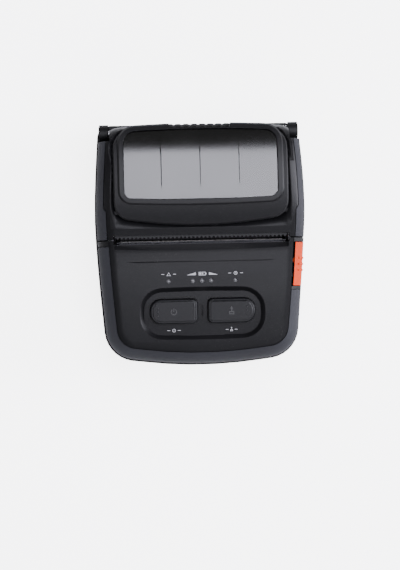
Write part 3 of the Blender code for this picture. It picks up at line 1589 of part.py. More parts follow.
def head_spring(name, side):
    return coil(
        name,
        "Y",
        (side * HEAD_SPRING_X, HEAD_SPRING_Z),
        BACK_WALL_Y + SHEET / 2 + FIT_GAP,
        HEAD_REAR_Y - RUNNING_GAP,
        HEAD_SPRING_RADIUS,
        HEAD_SPRING_WIRE,
        HEAD_SPRING_TURNS,
        steel(),
    )


def tear_bar():
    """Metal bar with a fine saw edge, on the front side of the slot."""
    material = steel()
    top = top_height(0.0) - TEAR_TOP_DROP
    foot = HEAD_HIGH + FIT_GAP
    half = HOOK_INNER - FIT_GAP
    pitch = THIN_WALL
    count = int(2 * half / pitch)
    outline = [(-half, foot)]
    start = -pitch * count / 2
    outline.append((-half, top - SHEET / 2))
    for k in range(count):
        outline.append((start + k * pitch + FIT_GAP / 3, top - SHEET / 2))
        outline.append((start + (k + 0.5) * pitch, top))
    outline.append((half, top - SHEET / 2))
    outline.append((half, foot))
    bar = prism("tear_bar", outline, "Y", TEAR_Y, TEAR_Y + TEAR_THICKNESS, material)
    base = block(
        "tear_base",
        (-half + SHEET, -SLOT_REAR_Y / 2, foot),
        (half - SHEET, TEAR_Y + TEAR_THICKNESS / 2, foot + SHEET / 2),
        material,
    )
    add(bar, base)
    return bar


# Latch
HOOK_BASE_RADIUS = 0.0030
HOOK_NOSE_START = 200.0
HOOK_NOSE_END = 125.0
HOOK_BACK_START = 131.0
HOOK_BACK_END = 184.0
HOOK_ARM_WIDTH = 0.0016


def hook_outline():
    """Hook that rises from the latch shaft and closes over the front of a platen bush."""
    reach = BUSH_RADIUS + FIT_GAP
    nose = []
    for k in range(6):
        angle = math.radians(HOOK_NOSE_START + (HOOK_NOSE_END - HOOK_NOSE_START) * k / 5)
        nose.append((PLATEN_Y + reach * math.cos(angle), PLATEN_Z + reach * math.sin(angle)))
    outer = []
    for k in range(5):
        angle = math.radians(HOOK_BACK_START + (HOOK_BACK_END - HOOK_BACK_START) * k / 4)
        radius = reach + HOOK_ARM_WIDTH
        outer.append((PLATEN_Y + radius * math.cos(angle), PLATEN_Z + radius * math.sin(angle)))
    base = []
    for k in range(9):
        angle = math.radians(150.0 + 210.0 * k / 8)
        base.append(
            (LATCH_Y + HOOK_BASE_RADIUS * math.cos(angle), LATCH_Z + HOOK_BASE_RADIUS * math.sin(angle))
        )
    return nose + outer + base


def latch_hook(name, side):
    material = steel()
    low, high = sorted((side * HOOK_INNER, side * HOOK_OUTER))
    hook = prism(name, hook_outline(), "X", low, high, material)
    cut(
        hook,
        rod(
            f"{name}_bore",
            "X",
            LATCH_AXIS,
            LATCH_SHAFT_RADIUS + FIT_GAP,
            low - OVERRUN,
            high + OVERRUN,
            material,
            14,
        ),
    )
    return hook


def latch_shaft():
    """Steel shaft across the chassis, with the lever that the release button pushes."""
    material = steel()
    shaft = rod(
        "latch_shaft", "X", LATCH_AXIS, LATCH_SHAFT_RADIUS, -PLATE_OUTER, LEVER_OUTER, material, 16
    )
    tip = (LATCH_Y - LEVER_ARM, LATCH_Z + LEVER_RISE)
    outline = [
        (LATCH_Y + LATCH_SHAFT_RADIUS * 1.6, LATCH_Z - LATCH_SHAFT_RADIUS),
        (LATCH_Y + LATCH_SHAFT_RADIUS * 1.6, LATCH_Z + LATCH_SHAFT_RADIUS),
        (LATCH_Y, LATCH_Z + LATCH_SHAFT_RADIUS * 1.8),
        (tip[0], tip[1] + LEVER_THICKNESS),
        (tip[0] - LEVER_THICKNESS, tip[1] + LEVER_THICKNESS / 2),
        (tip[0] - LEVER_THICKNESS, tip[1] - LEVER_THICKNESS / 2),
        (LATCH_Y - LATCH_SHAFT_RADIUS, LATCH_Z - LATCH_SHAFT_RADIUS),
    ]
    add(shaft, prism("latch_lever", outline, "X", LEVER_INNER, LEVER_OUTER, material))
    return shaft


# Boards and small electrical pieces
BOARD_SIDE = 0.0102
BOARD_MARGIN = 0.0026
BOARD_HALF = HALF_WIDTH - BOARD_SIDE
BOARD_FRONT_Y = BATTERY_FRONT_Y + BOARD_MARGIN
BOARD_REAR_Y = -0.0030
STAND_SIDE = 0.0046
STAND_MARGIN = 0.0050
STAND_X = BATTERY_HALF - STAND_SIDE
STAND_Y = (BOARD_FRONT_Y + STAND_MARGIN, -0.0200)
KEY_BOARD_DROP = 0.0081
KEY_BOARD_SIDE = 0.0012
KEY_BOARD_MARGIN = 0.0026
KEY_BOARD_HALF = RECESS_HALF - KEY_BOARD_SIDE
KEY_BOARD_FRONT_Y = RECESS_FRONT_Y + KEY_BOARD_MARGIN
KEY_BOARD_REAR_Y = -0.0228
KEY_POST_MARGIN = 0.0025
KEY_POST_Y = (KEY_BOARD_FRONT_Y + KEY_POST_MARGIN, -0.0250)
SWITCH_HALF = 0.0022
SWITCH_HEIGHT = 0.0017
TERMINAL_X = (-0.0300, -0.0140)
TERMINAL_Y = (-0.0400, -0.0350)
SENSOR_HALF = 0.0050
SENSOR_HEIGHT = 0.0060
SENSOR_HIGH = BAY_WALL_TOP
SENSOR_LOW = SENSOR_HIGH - SENSOR_HEIGHT
SENSOR_DEPTH = 0.0014


def main_board():
    material = circuit_green()
    board = block(
        "main_board",
        (-BOARD_HALF, BOARD_FRONT_Y, BOARD_Z),
        (BOARD_HALF, BOARD_REAR_Y, BOARD_Z + BOARD_THICKNESS),
        material,
    )
    for k, (x, y) in enumerate(post_places()):
        cut(
            board,
            rod(
                f"board_notch_{k}",
                "Z",
                (x, y),
                POST_RADIUS + FIT_GAP,
                BOARD_Z - OVERRUN,
                BOARD_Z + OVERRUN,
                material,
                16,
            ),
        )
    corner = FRONT_CORNER * 0.6
    for side, word in ((-1, "left"), (1, "right")):
        outline = [
            (side * (BOARD_HALF + SHEET), BOARD_FRONT_Y - SHEET),
            (side * (BOARD_HALF - corner), BOARD_FRONT_Y - SHEET),
            (side * (BOARD_HALF + SHEET), BOARD_FRONT_Y + corner),
        ]
        cut(board, prism(f"board_corner_{word}", outline, "Z", 0.0, CROWN_HEIGHT, material))
    return board


def board_stands(material):
    low, top = BATTERY_ROOF + THIN_WALL / 4, BOARD_Z - FIT_GAP
    return [
        rod(f"stand_{side}_{k}", "Z", (side * STAND_X, y), SPACER_RADIUS, low, top, material, 10)
        for side in (-1, 1)
        for k, y in enumerate(STAND_Y)
    ]


def on_panel(x, y, rise):
    """A point over the panel, rise above the skin along the panel's normal."""
    return Vector((x, y, top_height(y))) + panel_normal() * rise


def key_board():
    """The small board under the two keys, parallel to the panel, with its two switches."""
    material = circuit_green()
    front, rear = KEY_BOARD_FRONT_Y, KEY_BOARD_REAR_Y
    rings = []
    for drop in (KEY_BOARD_DROP + BOARD_THICKNESS, KEY_BOARD_DROP):
        low, high = on_panel(0.0, front, -drop), on_panel(0.0, rear, -drop)
        rings.append(
            [
                Vector((-KEY_BOARD_HALF, low.y, low.z)),
                Vector((KEY_BOARD_HALF, low.y, low.z)),
                Vector((KEY_BOARD_HALF, high.y, high.z)),
                Vector((-KEY_BOARD_HALF, high.y, high.z)),
            ]
        )
    board = stack("key_board", rings, material)
    middle_x = (BUTTON_INNER + BUTTON_OUTER) / 2
    middle_y = (BUTTON_FRONT_Y + BUTTON_REAR_Y) / 2
    for side, word in ((-1, "power"), (1, "feed")):
        centre = Vector((side * middle_x, middle_y, 0.0))
        rings = []
        for drop in (KEY_BOARD_DROP + SHEET / 2, KEY_BOARD_DROP - SWITCH_HEIGHT):
            rings.append(
                [
                    on_panel(centre.x + dx, centre.y + dy, -drop)
                    for dx, dy in circle((0.0, 0.0), SWITCH_HALF, 8, math.pi / 8)
                ]
            )
        add(board, stack(f"switch_{word}", rings, material))
    return board


def key_posts(material):
    """Posts of the cover that carry the key board."""
    posts = []
    for side in (-1, 1):
        for k, y in enumerate(KEY_POST_Y):
            x = side * (KEY_BOARD_HALF - SPACER_RADIUS * 1.5)
            rings = []
            for drop in (KEY_BOARD_DROP - FIT_GAP, COVER_THICKNESS / 2 + RECESS_DEPTH):
                rings.append([on_panel(px, py, -drop) for px, py in circle((x, y), SPACER_RADIUS, 10)])
            posts.append(stack(f"key_post_{side}_{k}", rings, material))
    return posts


def light_guide():
    """Clear bar behind the panel with five lenses that fill the lamp holes."""
    material = finish("clear lens", (0.60, 0.62, 0.62), 0.20)
    skin = top_height(LAMP_Y)
    high = skin - COVER_THICKNESS - FIT_GAP * 2
    bar = block(
        "light_guide",
        (-LAMP_OUTER_X - THIN_WALL, LAMP_Y - THIN_WALL, high - THIN_WALL),
        (LAMP_OUTER_X + THIN_WALL, LAMP_Y + THIN_WALL, high),
        material,
    )
    for k, x in enumerate(lamp_places()):
        profile = [
            (LAMP_RADIUS, high - THIN_WALL / 2),
            (LAMP_RADIUS, skin - FIT_GAP),
            (LAMP_RADIUS * 0.6, skin),
        ]
        add(bar, turned(f"lens_{k}", "Z", (x, LAMP_Y), profile, material, 10))
    return bar


def media_sensor():
    material = black_plastic()
    return block(
        "media_sensor",
        (-SENSOR_HALF, BAY_FRONT_Y + FIT_GAP, SENSOR_LOW),
        (SENSOR_HALF, BAY_FRONT_Y + FIT_GAP + SENSOR_DEPTH, SENSOR_HIGH),
        material,
    )


def battery_terminal():
    material = brass()
    low = BATTERY_ROOF + FIT_GAP / 3
    return block(
        "battery_terminal",
        (TERMINAL_X[0], TERMINAL_Y[0], low),
        (TERMINAL_X[1], TERMINAL_Y[1], BOARD_Z - FIT_GAP),
        material,
    )


def brass():
    return finish("brass", (0.72, 0.52, 0.22), 0.35, 1.0)


def terminal_opening(material):
    return block(
        "terminal_opening",
        (TERMINAL_X[0] - FIT_GAP, TERMINAL_Y[0] - FIT_GAP, BATTERY_ROOF - FIT_GAP),
        (TERMINAL_X[1] + FIT_GAP, TERMINAL_Y[1] + FIT_GAP, BOARD_Z),
        material,
    )


SOCKET_INSET = 0.0019
DATA_MOUTH = (0.0069, 0.0019)
SOCKET_MOUTH_DEPTH = 0.0060
POWER_MOUTH_RADIUS = 0.0027
POWER_PIN_RADIUS = 0.0007


def data_socket():
    material = steel()
    outer = -(body_width(DATA_Y) - SOCKET_INSET)
    top = BOARD_Z - FIT_GAP
    middle = top - DATA_HEIGHT / 2
    socket = block(
        "data_socket",
        (outer, DATA_Y - DATA_WIDTH / 2, top - DATA_HEIGHT),
        (outer + DATA_DEPTH, DATA_Y + DATA_WIDTH / 2, top),
        material,
    )
    width, height = DATA_MOUTH
    outline = [
        (DATA_Y - width / 2, middle + height / 2),
        (DATA_Y - width / 2 + height / 2, middle - height / 2),
        (DATA_Y + width / 2 - height / 2, middle - height / 2),
        (DATA_Y + width / 2, middle + height / 2),
    ]
    mouth = prism("data_mouth", outline, "X", outer - OVERRUN, outer + SOCKET_MOUTH_DEPTH, material)
    cut(socket, mouth)
    return socket


def power_socket():
    material = black_plastic()
    outer = -(body_width(POWER_Y) - SOCKET_INSET)
    top = BOARD_Z - FIT_GAP
    centre = (POWER_Y, top - POWER_HEIGHT / 2)
    socket = block(
        "power_socket",
        (outer, POWER_Y - POWER_WIDTH / 2, top - POWER_HEIGHT),
        (outer + POWER_DEPTH, POWER_Y + POWER_WIDTH / 2, top),
        material,
    )
    mouth = rod(
        "power_mouth",
        "X",
        centre,
        POWER_MOUTH_RADIUS,
        outer - OVERRUN,
        outer + SOCKET_MOUTH_DEPTH,
        material,
        16,
    )
    pin = rod(
        "power_pin",
        "X",
        centre,
        POWER_PIN_RADIUS,
        outer + SHEET,
        outer + SOCKET_MOUTH_DEPTH + SHEET,
        material,
        10,
    )
    cut(socket, mouth)
    add(socket, pin)
    return socket


def port_cover():
    """Rubber flap over the two sockets, flush with the left side."""
    flap = port_slab("port_cover", PORT_INSET, PORT_INSET + PORT_FLAP, 0.0, grey_rubber())
    return flap


def case_screw(name, place):
    """Screw from below, with a hex socket in its head, that draws the cover down."""
    material = steel()
    profile = [
        (SCREW_HEAD_RADIUS, SCREW_SEAT - FIT_GAP - SCREW_HEAD_HEIGHT),
        (SCREW_HEAD_RADIUS, SCREW_SEAT - FIT_GAP),
        (SCREW_SHANK_RADIUS, SCREW_SEAT - FIT_GAP),
        (SCREW_SHANK_RADIUS, SCREW_SEAT + SCREW_LENGTH - SCREW_SHANK_RADIUS),
        (SCREW_SHANK_RADIUS / 2, SCREW_SEAT + SCREW_LENGTH),
    ]
    screw = turned(name, "Z", place, profile, material, 12)
    seat = SCREW_SEAT - FIT_GAP - SCREW_HEAD_HEIGHT
    socket = rod(
        f"{name}_socket", "Z", place, SCREW_SHANK_RADIUS, seat - OVERRUN, seat + SHEET, material, 6
    )
    cut(screw, socket)
    return screw


# Media tray and guides
GUIDE_THICKNESS = 0.0013
GUIDE_FRONT_Y = 0.0140
GUIDE_REAR_Y = 0.0400
GUIDE_RISE = 0.0090
GUIDE_TOP = LEDGE_HEIGHT + GUIDE_RISE
GUIDE_TRAVEL = 0.016
FOOT_WIDTH = 0.0036
FOOT_LOW_Y = 0.0015
RACK_MODULE = 0.0008
RACK_TEETH = 14
RACK_BACK = 0.0024
RACK_GAPS = 7
TRAY_END_GAP = 0.0004


def tray_slot_spans():
    """x and y spans of the slot for each guide's foot."""
    far = ARM_INNER + FIT_GAP + GUIDE_THICKNESS
    near = far - FOOT_WIDTH - GUIDE_TRAVEL
    low = RACK_MODULE * RACK_TEETH / 2 - RACK_MODULE
    high = low + RACK_MODULE * 2 + RACK_BACK
    return (near - FIT_GAP * 2, far + FIT_GAP), (low - FIT_GAP, high + FIT_GAP)


def media_tray():
    """Floor of the roll bay, slotted for the feet of the two guides, on three ribs."""
    material = black_plastic()
    low_y, high_y = BAY_FRONT_Y + TRAY_END_GAP, BAY_REAR_Y - WALL - TRAY_END_GAP
    half = BAY_HALF - SHEET
    tray = block(
        "media_tray", (-half, low_y, TRAY_TOP - TRAY_THICKNESS), (half, high_y, TRAY_TOP), material
    )
    ribs = (
        (low_y + FIT_GAP, low_y + THIN_WALL),
        (high_y - THIN_WALL, high_y - FIT_GAP),
        (high_y - GUIDE_FRONT_Y, high_y - GUIDE_FRONT_Y + THIN_WALL),
    )
    for k, (first, last) in enumerate(ribs):
        rib = block(
            f"tray_rib_{k}",
            (-half + SHEET, first, FLOOR + FIT_GAP),
            (half - SHEET, last, TRAY_TOP - TRAY_THICKNESS / 2),
            material,
        )
        add(tray, rib)
    (near, far), (low, high) = tray_slot_spans()
    for side, word in ((-1, "left"), (1, "right")):
        x_low, x_high = sorted((side * near, side * far))
        y_low, y_high = sorted((ROLL_Y - side * low, ROLL_Y - side * high))
        cut(
            tray,
            block(
                f"tray_slot_{word}",
                (x_low, y_low, TRAY_TOP - TRAY_THICKNESS - OVERRUN),
                (x_high, y_high, TRAY_TOP + OVERRUN),
                material,
            ),
        )
    return tray


def rack_outline(side):
    """Rack of one guide in plan: teeth face the pinion, a gap of the rack lies at x = 0."""
    pitch = math.pi * RACK_MODULE
    pitch_y = RACK_MODULE * RACK_TEETH / 2
    back = pitch_y + RACK_MODULE + RACK_BACK
    points = []
    for k in range(-RACK_GAPS, 1):
        middle = (k + 0.5) * pitch
        for angle_share, height_share in TOOTH_SHARES:
            points.append((middle + angle_share * pitch, pitch_y - height_share * RACK_MODULE))
    far = -(ARM_INNER + FIT_GAP)
    outline = [(far, back), (far, pitch_y + RACK_MODULE * 1.25)] + points + [(pitch, back)]
    return [(-side * x, ROLL_Y - side * y) for x, y in outline]


def media_guide(name, side):
    """Upright guide with its foot through the tray and its rack below."""
    material = button_rubber()
    inner = ARM_INNER + FIT_GAP
    low, high = sorted((side * inner, side * (inner + GUIDE_THICKNESS)))
    radius = (GUIDE_REAR_Y - GUIDE_FRONT_Y) / 2
    centre_y = (GUIDE_REAR_Y + GUIDE_FRONT_Y) / 2
    bottom = TRAY_TOP + FIT_GAP
    outline = [(GUIDE_FRONT_Y, bottom), (GUIDE_REAR_Y, bottom)]
    for k in range(11):
        angle = math.pi * k / 10
        outline.append((centre_y + radius * math.cos(angle), GUIDE_TOP - radius + radius * math.sin(angle)))
    guide = prism(name, outline, "X", low, high, material)
    rack_back = RACK_MODULE * RACK_TEETH / 2 + RACK_MODULE + RACK_BACK
    rack_front = RACK_MODULE * RACK_TEETH / 2 + RACK_MODULE * 1.25
    foot_x = sorted((side * (inner + GUIDE_THICKNESS), side * (inner + GUIDE_THICKNESS - FOOT_WIDTH)))
    foot_y = sorted((ROLL_Y - side * rack_front, ROLL_Y - side * rack_back))
    foot = block(f"{name}_foot", (foot_x[0], foot_y[0], RACK_LOW), (foot_x[1], foot_y[1], bottom + SHEET), material)
    rack = prism(f"{name}_rack", rack_outline(side), "Z", RACK_LOW, RACK_HIGH, material)
    add(guide, foot, rack)
    return guide


def guide_pinion():
    material = gear_nylon()
    centre = (0.0, ROLL_Y)
    outline = gear_outline(centre, RACK_TEETH, RACK_MODULE, math.pi / 2)
    pinion = prism("guide_pinion", outline, "Z", RACK_LOW, RACK_HIGH, material)
    bore = rod(
        "guide_pinion_bore", "Z", centre, PINION_PIN_RADIUS + FIT_GAP, 0.0, TRAY_TOP, material, 16
    )
    cut(pinion, bore)
    return pinion


# Battery and its catch
BATTERY_LIP = 0.0014
BATTERY_LIP_LOW = 0.0017
BATTERY_LIP_HIGH = 0.0030
BATTERY_LIP_HALF = 0.0060
BATTERY_EDGE = 0.0012
CATCH_HALF = 0.0069
CATCH_TONGUE_HALF = 0.0040
CATCH_LOW = 0.0006
CATCH_HIGH = 0.0050
CATCH_TONGUE = 0.0008
CATCH_BODY_Y = (-0.0120, -0.0059)


def battery_pack():
    """The pack fills its bay from below; a small lip at its rear rests over the catch."""
    material = black_plastic()
    rear = BATTERY_REAR_Y - BATTERY_LIP
    pack = block(
        "battery_pack",
        (-BATTERY_HALF, BATTERY_FRONT_Y, BATTERY_BASE),
        (BATTERY_HALF, BATTERY_REAR_Y, BATTERY_BASE + BATTERY_HEIGHT),
        material,
    )
    bevel = pack.modifiers.new("rounded edges", "BEVEL")
    bevel.width = BATTERY_EDGE
    bevel.segments = 2
    bevel.limit_method = "ANGLE"
    notch = block(
        "pack_notch",
        (-BATTERY_LIP_HALF - SHEET, rear, -OVERRUN),
        (BATTERY_LIP_HALF + SHEET, BATTERY_REAR_Y + OVERRUN, BATTERY_HEIGHT + OVERRUN),
        material,
    )
    lip = block(
        "pack_lip",
        (-BATTERY_LIP_HALF, rear - SHEET, BATTERY_LIP_LOW),
        (BATTERY_LIP_HALF, BATTERY_REAR_Y, BATTERY_LIP_HIGH),
        material,
    )
    cut(pack, notch)
    add(pack, lip)
    grip = block(
        "pack_grip",
        (-BATTERY_HALF / 2, BATTERY_FRONT_Y + BATTERY_LIP * 2, -OVERRUN),
        (BATTERY_HALF / 2, BATTERY_FRONT_Y + BATTERY_LIP * 4, BATTERY_LIP),
        material,
    )
    cut(pack, grip)
    return pack


def battery_catch():
    """Sliding catch in the base, whose tongue reaches under the lip of the pack."""
    material = charcoal_plastic()
    catch = block(
        "battery_catch",
        (-CATCH_HALF, CATCH_BODY_Y[0], CATCH_LOW),
        (CATCH_HALF, CATCH_BODY_Y[1], CATCH_HIGH),
        material,
    )
    tongue = block(
        "catch_tongue",
        (-CATCH_TONGUE_HALF, BATTERY_REAR_Y - CATCH_TONGUE, CATCH_LOW + FIT_GAP / 3),
        (CATCH_TONGUE_HALF, CATCH_BODY_Y[0] + SHEET, CATCH_LOW + CATCH_TONGUE),
        material,
    )
    add(catch, tongue)
    for k in range(3):
        y = CATCH_BODY_Y[0] + (k + 1) * THIN_WALL
        groove = block(
            f"catch_groove_{k}",
            (-CATCH_TONGUE_HALF, y - FIT_GAP, -OVERRUN),
            (CATCH_TONGUE_HALF, y + FIT_GAP, CATCH_LOW + SHEET / 2),
            material,
        )
        cut(catch, groove)
    return catch


# Lid
LID_THETAS = (0.0, 15.0, 30.0, 45.0, 60.0, 75.0, 90.0)
LID_INNER = ((30.0, 0.0033), (50.0, 0.0033), (65.0, 0.0029))
LID_REAR_Y = HINGE_Y - KNUCKLE_RADIUS - RUNNING_GAP
LID_REAR_DROP = 0.0025
LID_NOTCH_DEPTH = 0.0014
LID_REAR_BOTTOM = HINGE_Z - LID_REAR_DROP
LID_NOTCH_Y = HALF_LENGTH - LID_NOTCH_DEPTH
LID_FRONT_WALL = 0.0012
LIP_RISE = 0.0053
LIP_THICKNESS = 0.0012
LIP_LOW = PLATEN_Z + LIP_RISE
LIP_HIGH = LIP_LOW + LIP_THICKNESS
LIP_FRONT_Y = 0.0025
LIP_ROOT_Y = 0.0033
LIP_PITCH = 0.0020
WEB_FRONT = 0.0009
WEB_REAR = 0.0012
KNUCKLE_WEB = (HINGE_Y - WEB_FRONT, HINGE_Y + WEB_REAR)
KNUCKLE_START = CENTRE_KNUCKLE + SHEET
LID_SPRING_RADIUS = 0.0025
LID_SPRING_WIRE = 0.0006
LID_SPRING_TURNS = 5
LATCH_SPRING_TURNS = 4
LATCH_SPRING_LENGTH = 0.0050
STRIP_STATIONS = 14
STRIP_ARC = 6
HOLDER_FRONT_Y = 0.0062
HOLDER_REAR_Y = 0.0180
HOLDER_THICKNESS = 0.0015
HOLDER_RING_RADIUS = 0.0030
HOLDER_SCREW_SIDE = 0.0103
HOLDER_SCREW_X = ARM_INNER - HOLDER_SCREW_SIDE
HOLDER_SCREW_Y = 0.0140
PANEL_EDGE = 0.0006
WINDOW_EDGE = 0.0003
FLUTE_MARGIN = 0.0043
FLUTE_REAR_MARGIN = 0.0025
FLUTE_FRONT_Y = WINDOW_FRONT_Y + FLUTE_MARGIN
FLUTE_REAR_Y = WINDOW_REAR_Y - FLUTE_REAR_MARGIN
FLUTE_STATIONS = 8
FLUTE_START_SHARE = 0.06
FLUTE_CLEAR_SHARE = 0.1


def strip_places(start, end):
    """Places along a side strip, with two close together where it widens."""
    places = [start + (end - start) * k / STRIP_STATIONS for k in range(STRIP_STATIONS + 1)]
    places = [y for y in places if abs(y - STRIP_KINK_Y) > SHEET * 2]
    return sorted(places + [STRIP_KINK_Y - SHEET, STRIP_KINK_Y + SHEET])


def strip_solid(name, side, start, end, out, gap, material):
    """A strip round one shoulder, as sections along Y. out raises its outside, gap sinks its inside."""
    rings = []
    depth = STRIP_THICKNESS + gap
    base = LEDGE_HEIGHT + FIT_GAP - out
    for y in strip_places(start, end):
        last = STRIP_WIDE_THETA if y < STRIP_KINK_Y else STRIP_THETA
        end_inset, end_drop = skin_point(last, 0.0)
        outer = [skin_point(last * k / STRIP_ARC, -out) for k in range(STRIP_ARC)]
        inner = [skin_point(last * k / STRIP_ARC, depth) for k in range(STRIP_ARC)]
        outer.append((end_inset + gap, end_drop - out))
        inner.append((end_inset + gap, end_drop + depth))
        top = top_height(y)
        section = [(EDGE_BAND - out, base)] + [(inset, top - drop) for inset, drop in outer]
        section += [(inset, top - drop) for inset, drop in reversed(inner)] + [(EDGE_BAND + depth, base)]
        rings.append([Vector((side * (body_width(y) - inset), y, z)) for inset, z in section])
    return stack(name, rings, material)


def lid_sweep_cutter(name, material):
    """Leans the lid's lower front edge back, so that it clears the front half as it turns."""
    outline = [
        (SEAM_Y - OVERRUN, HINGE_Z),
        (SEAM_Y + FIT_GAP, HINGE_Z),
        (SEAM_Y + FIT_GAP * 4, LEDGE_HEIGHT - FIT_GAP),
        (SEAM_Y - OVERRUN, LEDGE_HEIGHT - FIT_GAP),
    ]
    return prism(name, outline, "X", -HALF_WIDTH - OVERRUN, HALF_WIDTH + OVERRUN, material)


def lid_shell(material):
    rings = [ring(LID_SHAPE, EDGE_BAND, LEDGE_HEIGHT + FIT_GAP)]
    rings += [skin_ring(LID_SHAPE, theta, 0.0) for theta in LID_THETAS]
    shell = loft("lid_frame", rings, material)
    rings = [
        ring(LID_SHAPE, RIM_INNER_INSET, 0.0),
        ring(LID_SHAPE, RIM_INNER_INSET, below_top(SHOULDER)),
    ]
    rings += [skin_ring(LID_SHAPE, theta, depth) for theta, depth in LID_INNER]
    rings.append(ring(LID_SHAPE, EDGE_BAND + SHOULDER, below_top(THIN_WALL)))
    cut(shell, loft("lid_cavity", rings, material))
    return shell


def lid_end_cutters(material):
    """What frees the lid at the seam, at the slot and round the hinge."""
    wide, high = HALF_WIDTH + OVERRUN, CROWN_HEIGHT + OVERRUN
    far = HALF_LENGTH + OVERRUN
    knuckle = CENTRE_KNUCKLE + RUNNING_GAP
    cutters = [
        block("lid_seam", (-wide, -far, 0.0), (wide, SEAM_Y + FIT_GAP, high), material),
        block("lid_slot", (-SLOT_HALF, -far, 0.0), (SLOT_HALF, SLOT_REAR_Y, high), material),
        block("lid_rear_low", (-wide, LID_REAR_Y, 0.0), (wide, far, LID_REAR_BOTTOM), material),
        block(
            "knuckle_space",
            (-knuckle, LID_REAR_Y, 0.0),
            (knuckle, far, HINGE_Z + KNUCKLE_RADIUS + RUNNING_GAP),
            material,
        ),
        block("knuckle_notch", (-knuckle, LID_NOTCH_Y, 0.0), (knuckle, far, high), material),
        lid_sweep_cutter("lid_sweep", material),
    ]
    for side, word in ((-1, "left"), (1, "right")):
        low, top = sorted((side * (BLOCK_INNER - RUNNING_GAP), side * wide))
        cutters.append(block(f"block_space_{word}", (low, LID_REAR_Y, 0.0), (top, far, high), material))
        low, top = sorted((side * (KNUCKLE_START + LID_KNUCKLE_LENGTH), side * wide))
        relief = LID_KNUCKLE_RADIUS + FIT_GAP
        cutters.append(
            rod(f"spring_space_{word}", "X", (HINGE_Y, HINGE_Z), relief, low, top, material, 20)
        )
    return cutters


def lip_teeth(material):
    """The saw-edged lip of the lid, behind the slot."""
    half = SLOT_HALF - SHEET
    count = int(2 * half / LIP_PITCH)
    start = -LIP_PITCH * count / 2
    rear = SLOT_REAR_Y + LID_FRONT_WALL / 2
    outline = [(-half, rear), (-half, LIP_ROOT_Y)]
    for k in range(count):
        outline.append((start + (k + 0.15) * LIP_PITCH, LIP_ROOT_Y))
        outline.append((start + (k + 0.40) * LIP_PITCH, LIP_FRONT_Y))
        outline.append((start + (k + 0.60) * LIP_PITCH, LIP_FRONT_Y))
        outline.append((start + (k + 0.85) * LIP_PITCH, LIP_ROOT_Y))
    outline += [(half, LIP_ROOT_Y), (half, rear)]
    return prism("lip_teeth", outline, "Z", LIP_LOW, LIP_HIGH, material)


def lid_frame():
    material = charcoal_plastic()
    frame = lid_shell(material)
    cut(frame, *lid_end_cutters(material))
    for side, word in ((-1, "left"), (1, "right")):
        groove = strip_solid(
            f"strip_groove_{word}", side, SEAM_Y - SHEET, LID_REAR_Y + SHEET, SHEET, FIT_GAP, material
        )
        cut(frame, groove)
    opening = loft(
        "window_opening",
        [
            ring(WINDOW_SHAPE, WINDOW_SEAT, below_top(OVERRUN)),
            ring(WINDOW_SHAPE, WINDOW_SEAT, below_top(-OVERRUN)),
        ],
        material,
    )
    cut(frame, opening)
    wall_top = top_height(SLOT_REAR_Y) - THIN_WALL / 2
    front_wall = block(
        "lid_front_wall",
        (-SLOT_HALF - FIT_GAP, SLOT_REAR_Y - FIT_GAP / 3, LIP_LOW),
        (SLOT_HALF + FIT_GAP, SLOT_REAR_Y + LID_FRONT_WALL, wall_top),
        material,
    )
    add(frame, front_wall, lip_teeth(material))
    web_top = top_height(HINGE_Y) - THIN_WALL / 2
    for side, word in ((-1, "left"), (1, "right")):
        low, high = sorted((side * KNUCKLE_START, side * (KNUCKLE_START + LID_KNUCKLE_LENGTH)))
        knuckle = rod(
            f"lid_knuckle_{word}", "X", (HINGE_Y, HINGE_Z), LID_KNUCKLE_RADIUS, low, high, material, 24
        )
        web = block(
            f"knuckle_web_{word}",
            (low + FIT_GAP, KNUCKLE_WEB[0], HINGE_Z),
            (high - FIT_GAP, KNUCKLE_WEB[1], web_top),
            material,
        )
        add(frame, knuckle, web)
        bore = rod(
            f"lid_bore_{word}",
            "X",
            (HINGE_Y, HINGE_Z),
            PIN_RADIUS + FIT_GAP,
            low - OVERRUN,
            high + OVERRUN,
            material,
            16,
        )
        hole = rod(
            f"holder_hole_{word}",
            "Z",
            (side * HOLDER_SCREW_X, HOLDER_SCREW_Y),
            SCREW_SHANK_RADIUS + FIT_GAP,
            0.0,
            top_height(HOLDER_SCREW_Y) - FIT_GAP,
            material,
            12,
        )
        cut(frame, bore, hole)
    tip = GEAR_MODULE * (PLATEN_TEETH / 2 + TOOTH_SHARES[2][1])
    pocket = rod(
        "gear_pocket",
        "X",
        PLATEN_AXIS,
        tip + FIT_GAP,
        -GEAR_OUTER - FIT_GAP,
        -GEAR_INNER + FIT_GAP,
        material,
        32,
    )
    cut(frame, pocket)
    return frame


def lid_strip(name, side):
    material = grey_rubber()
    strip = strip_solid(name, side, SEAM_Y + FIT_GAP, LID_REAR_Y, 0.0, 0.0, material)
    cut(strip, lid_sweep_cutter(f"{name}_sweep", material))
    return strip


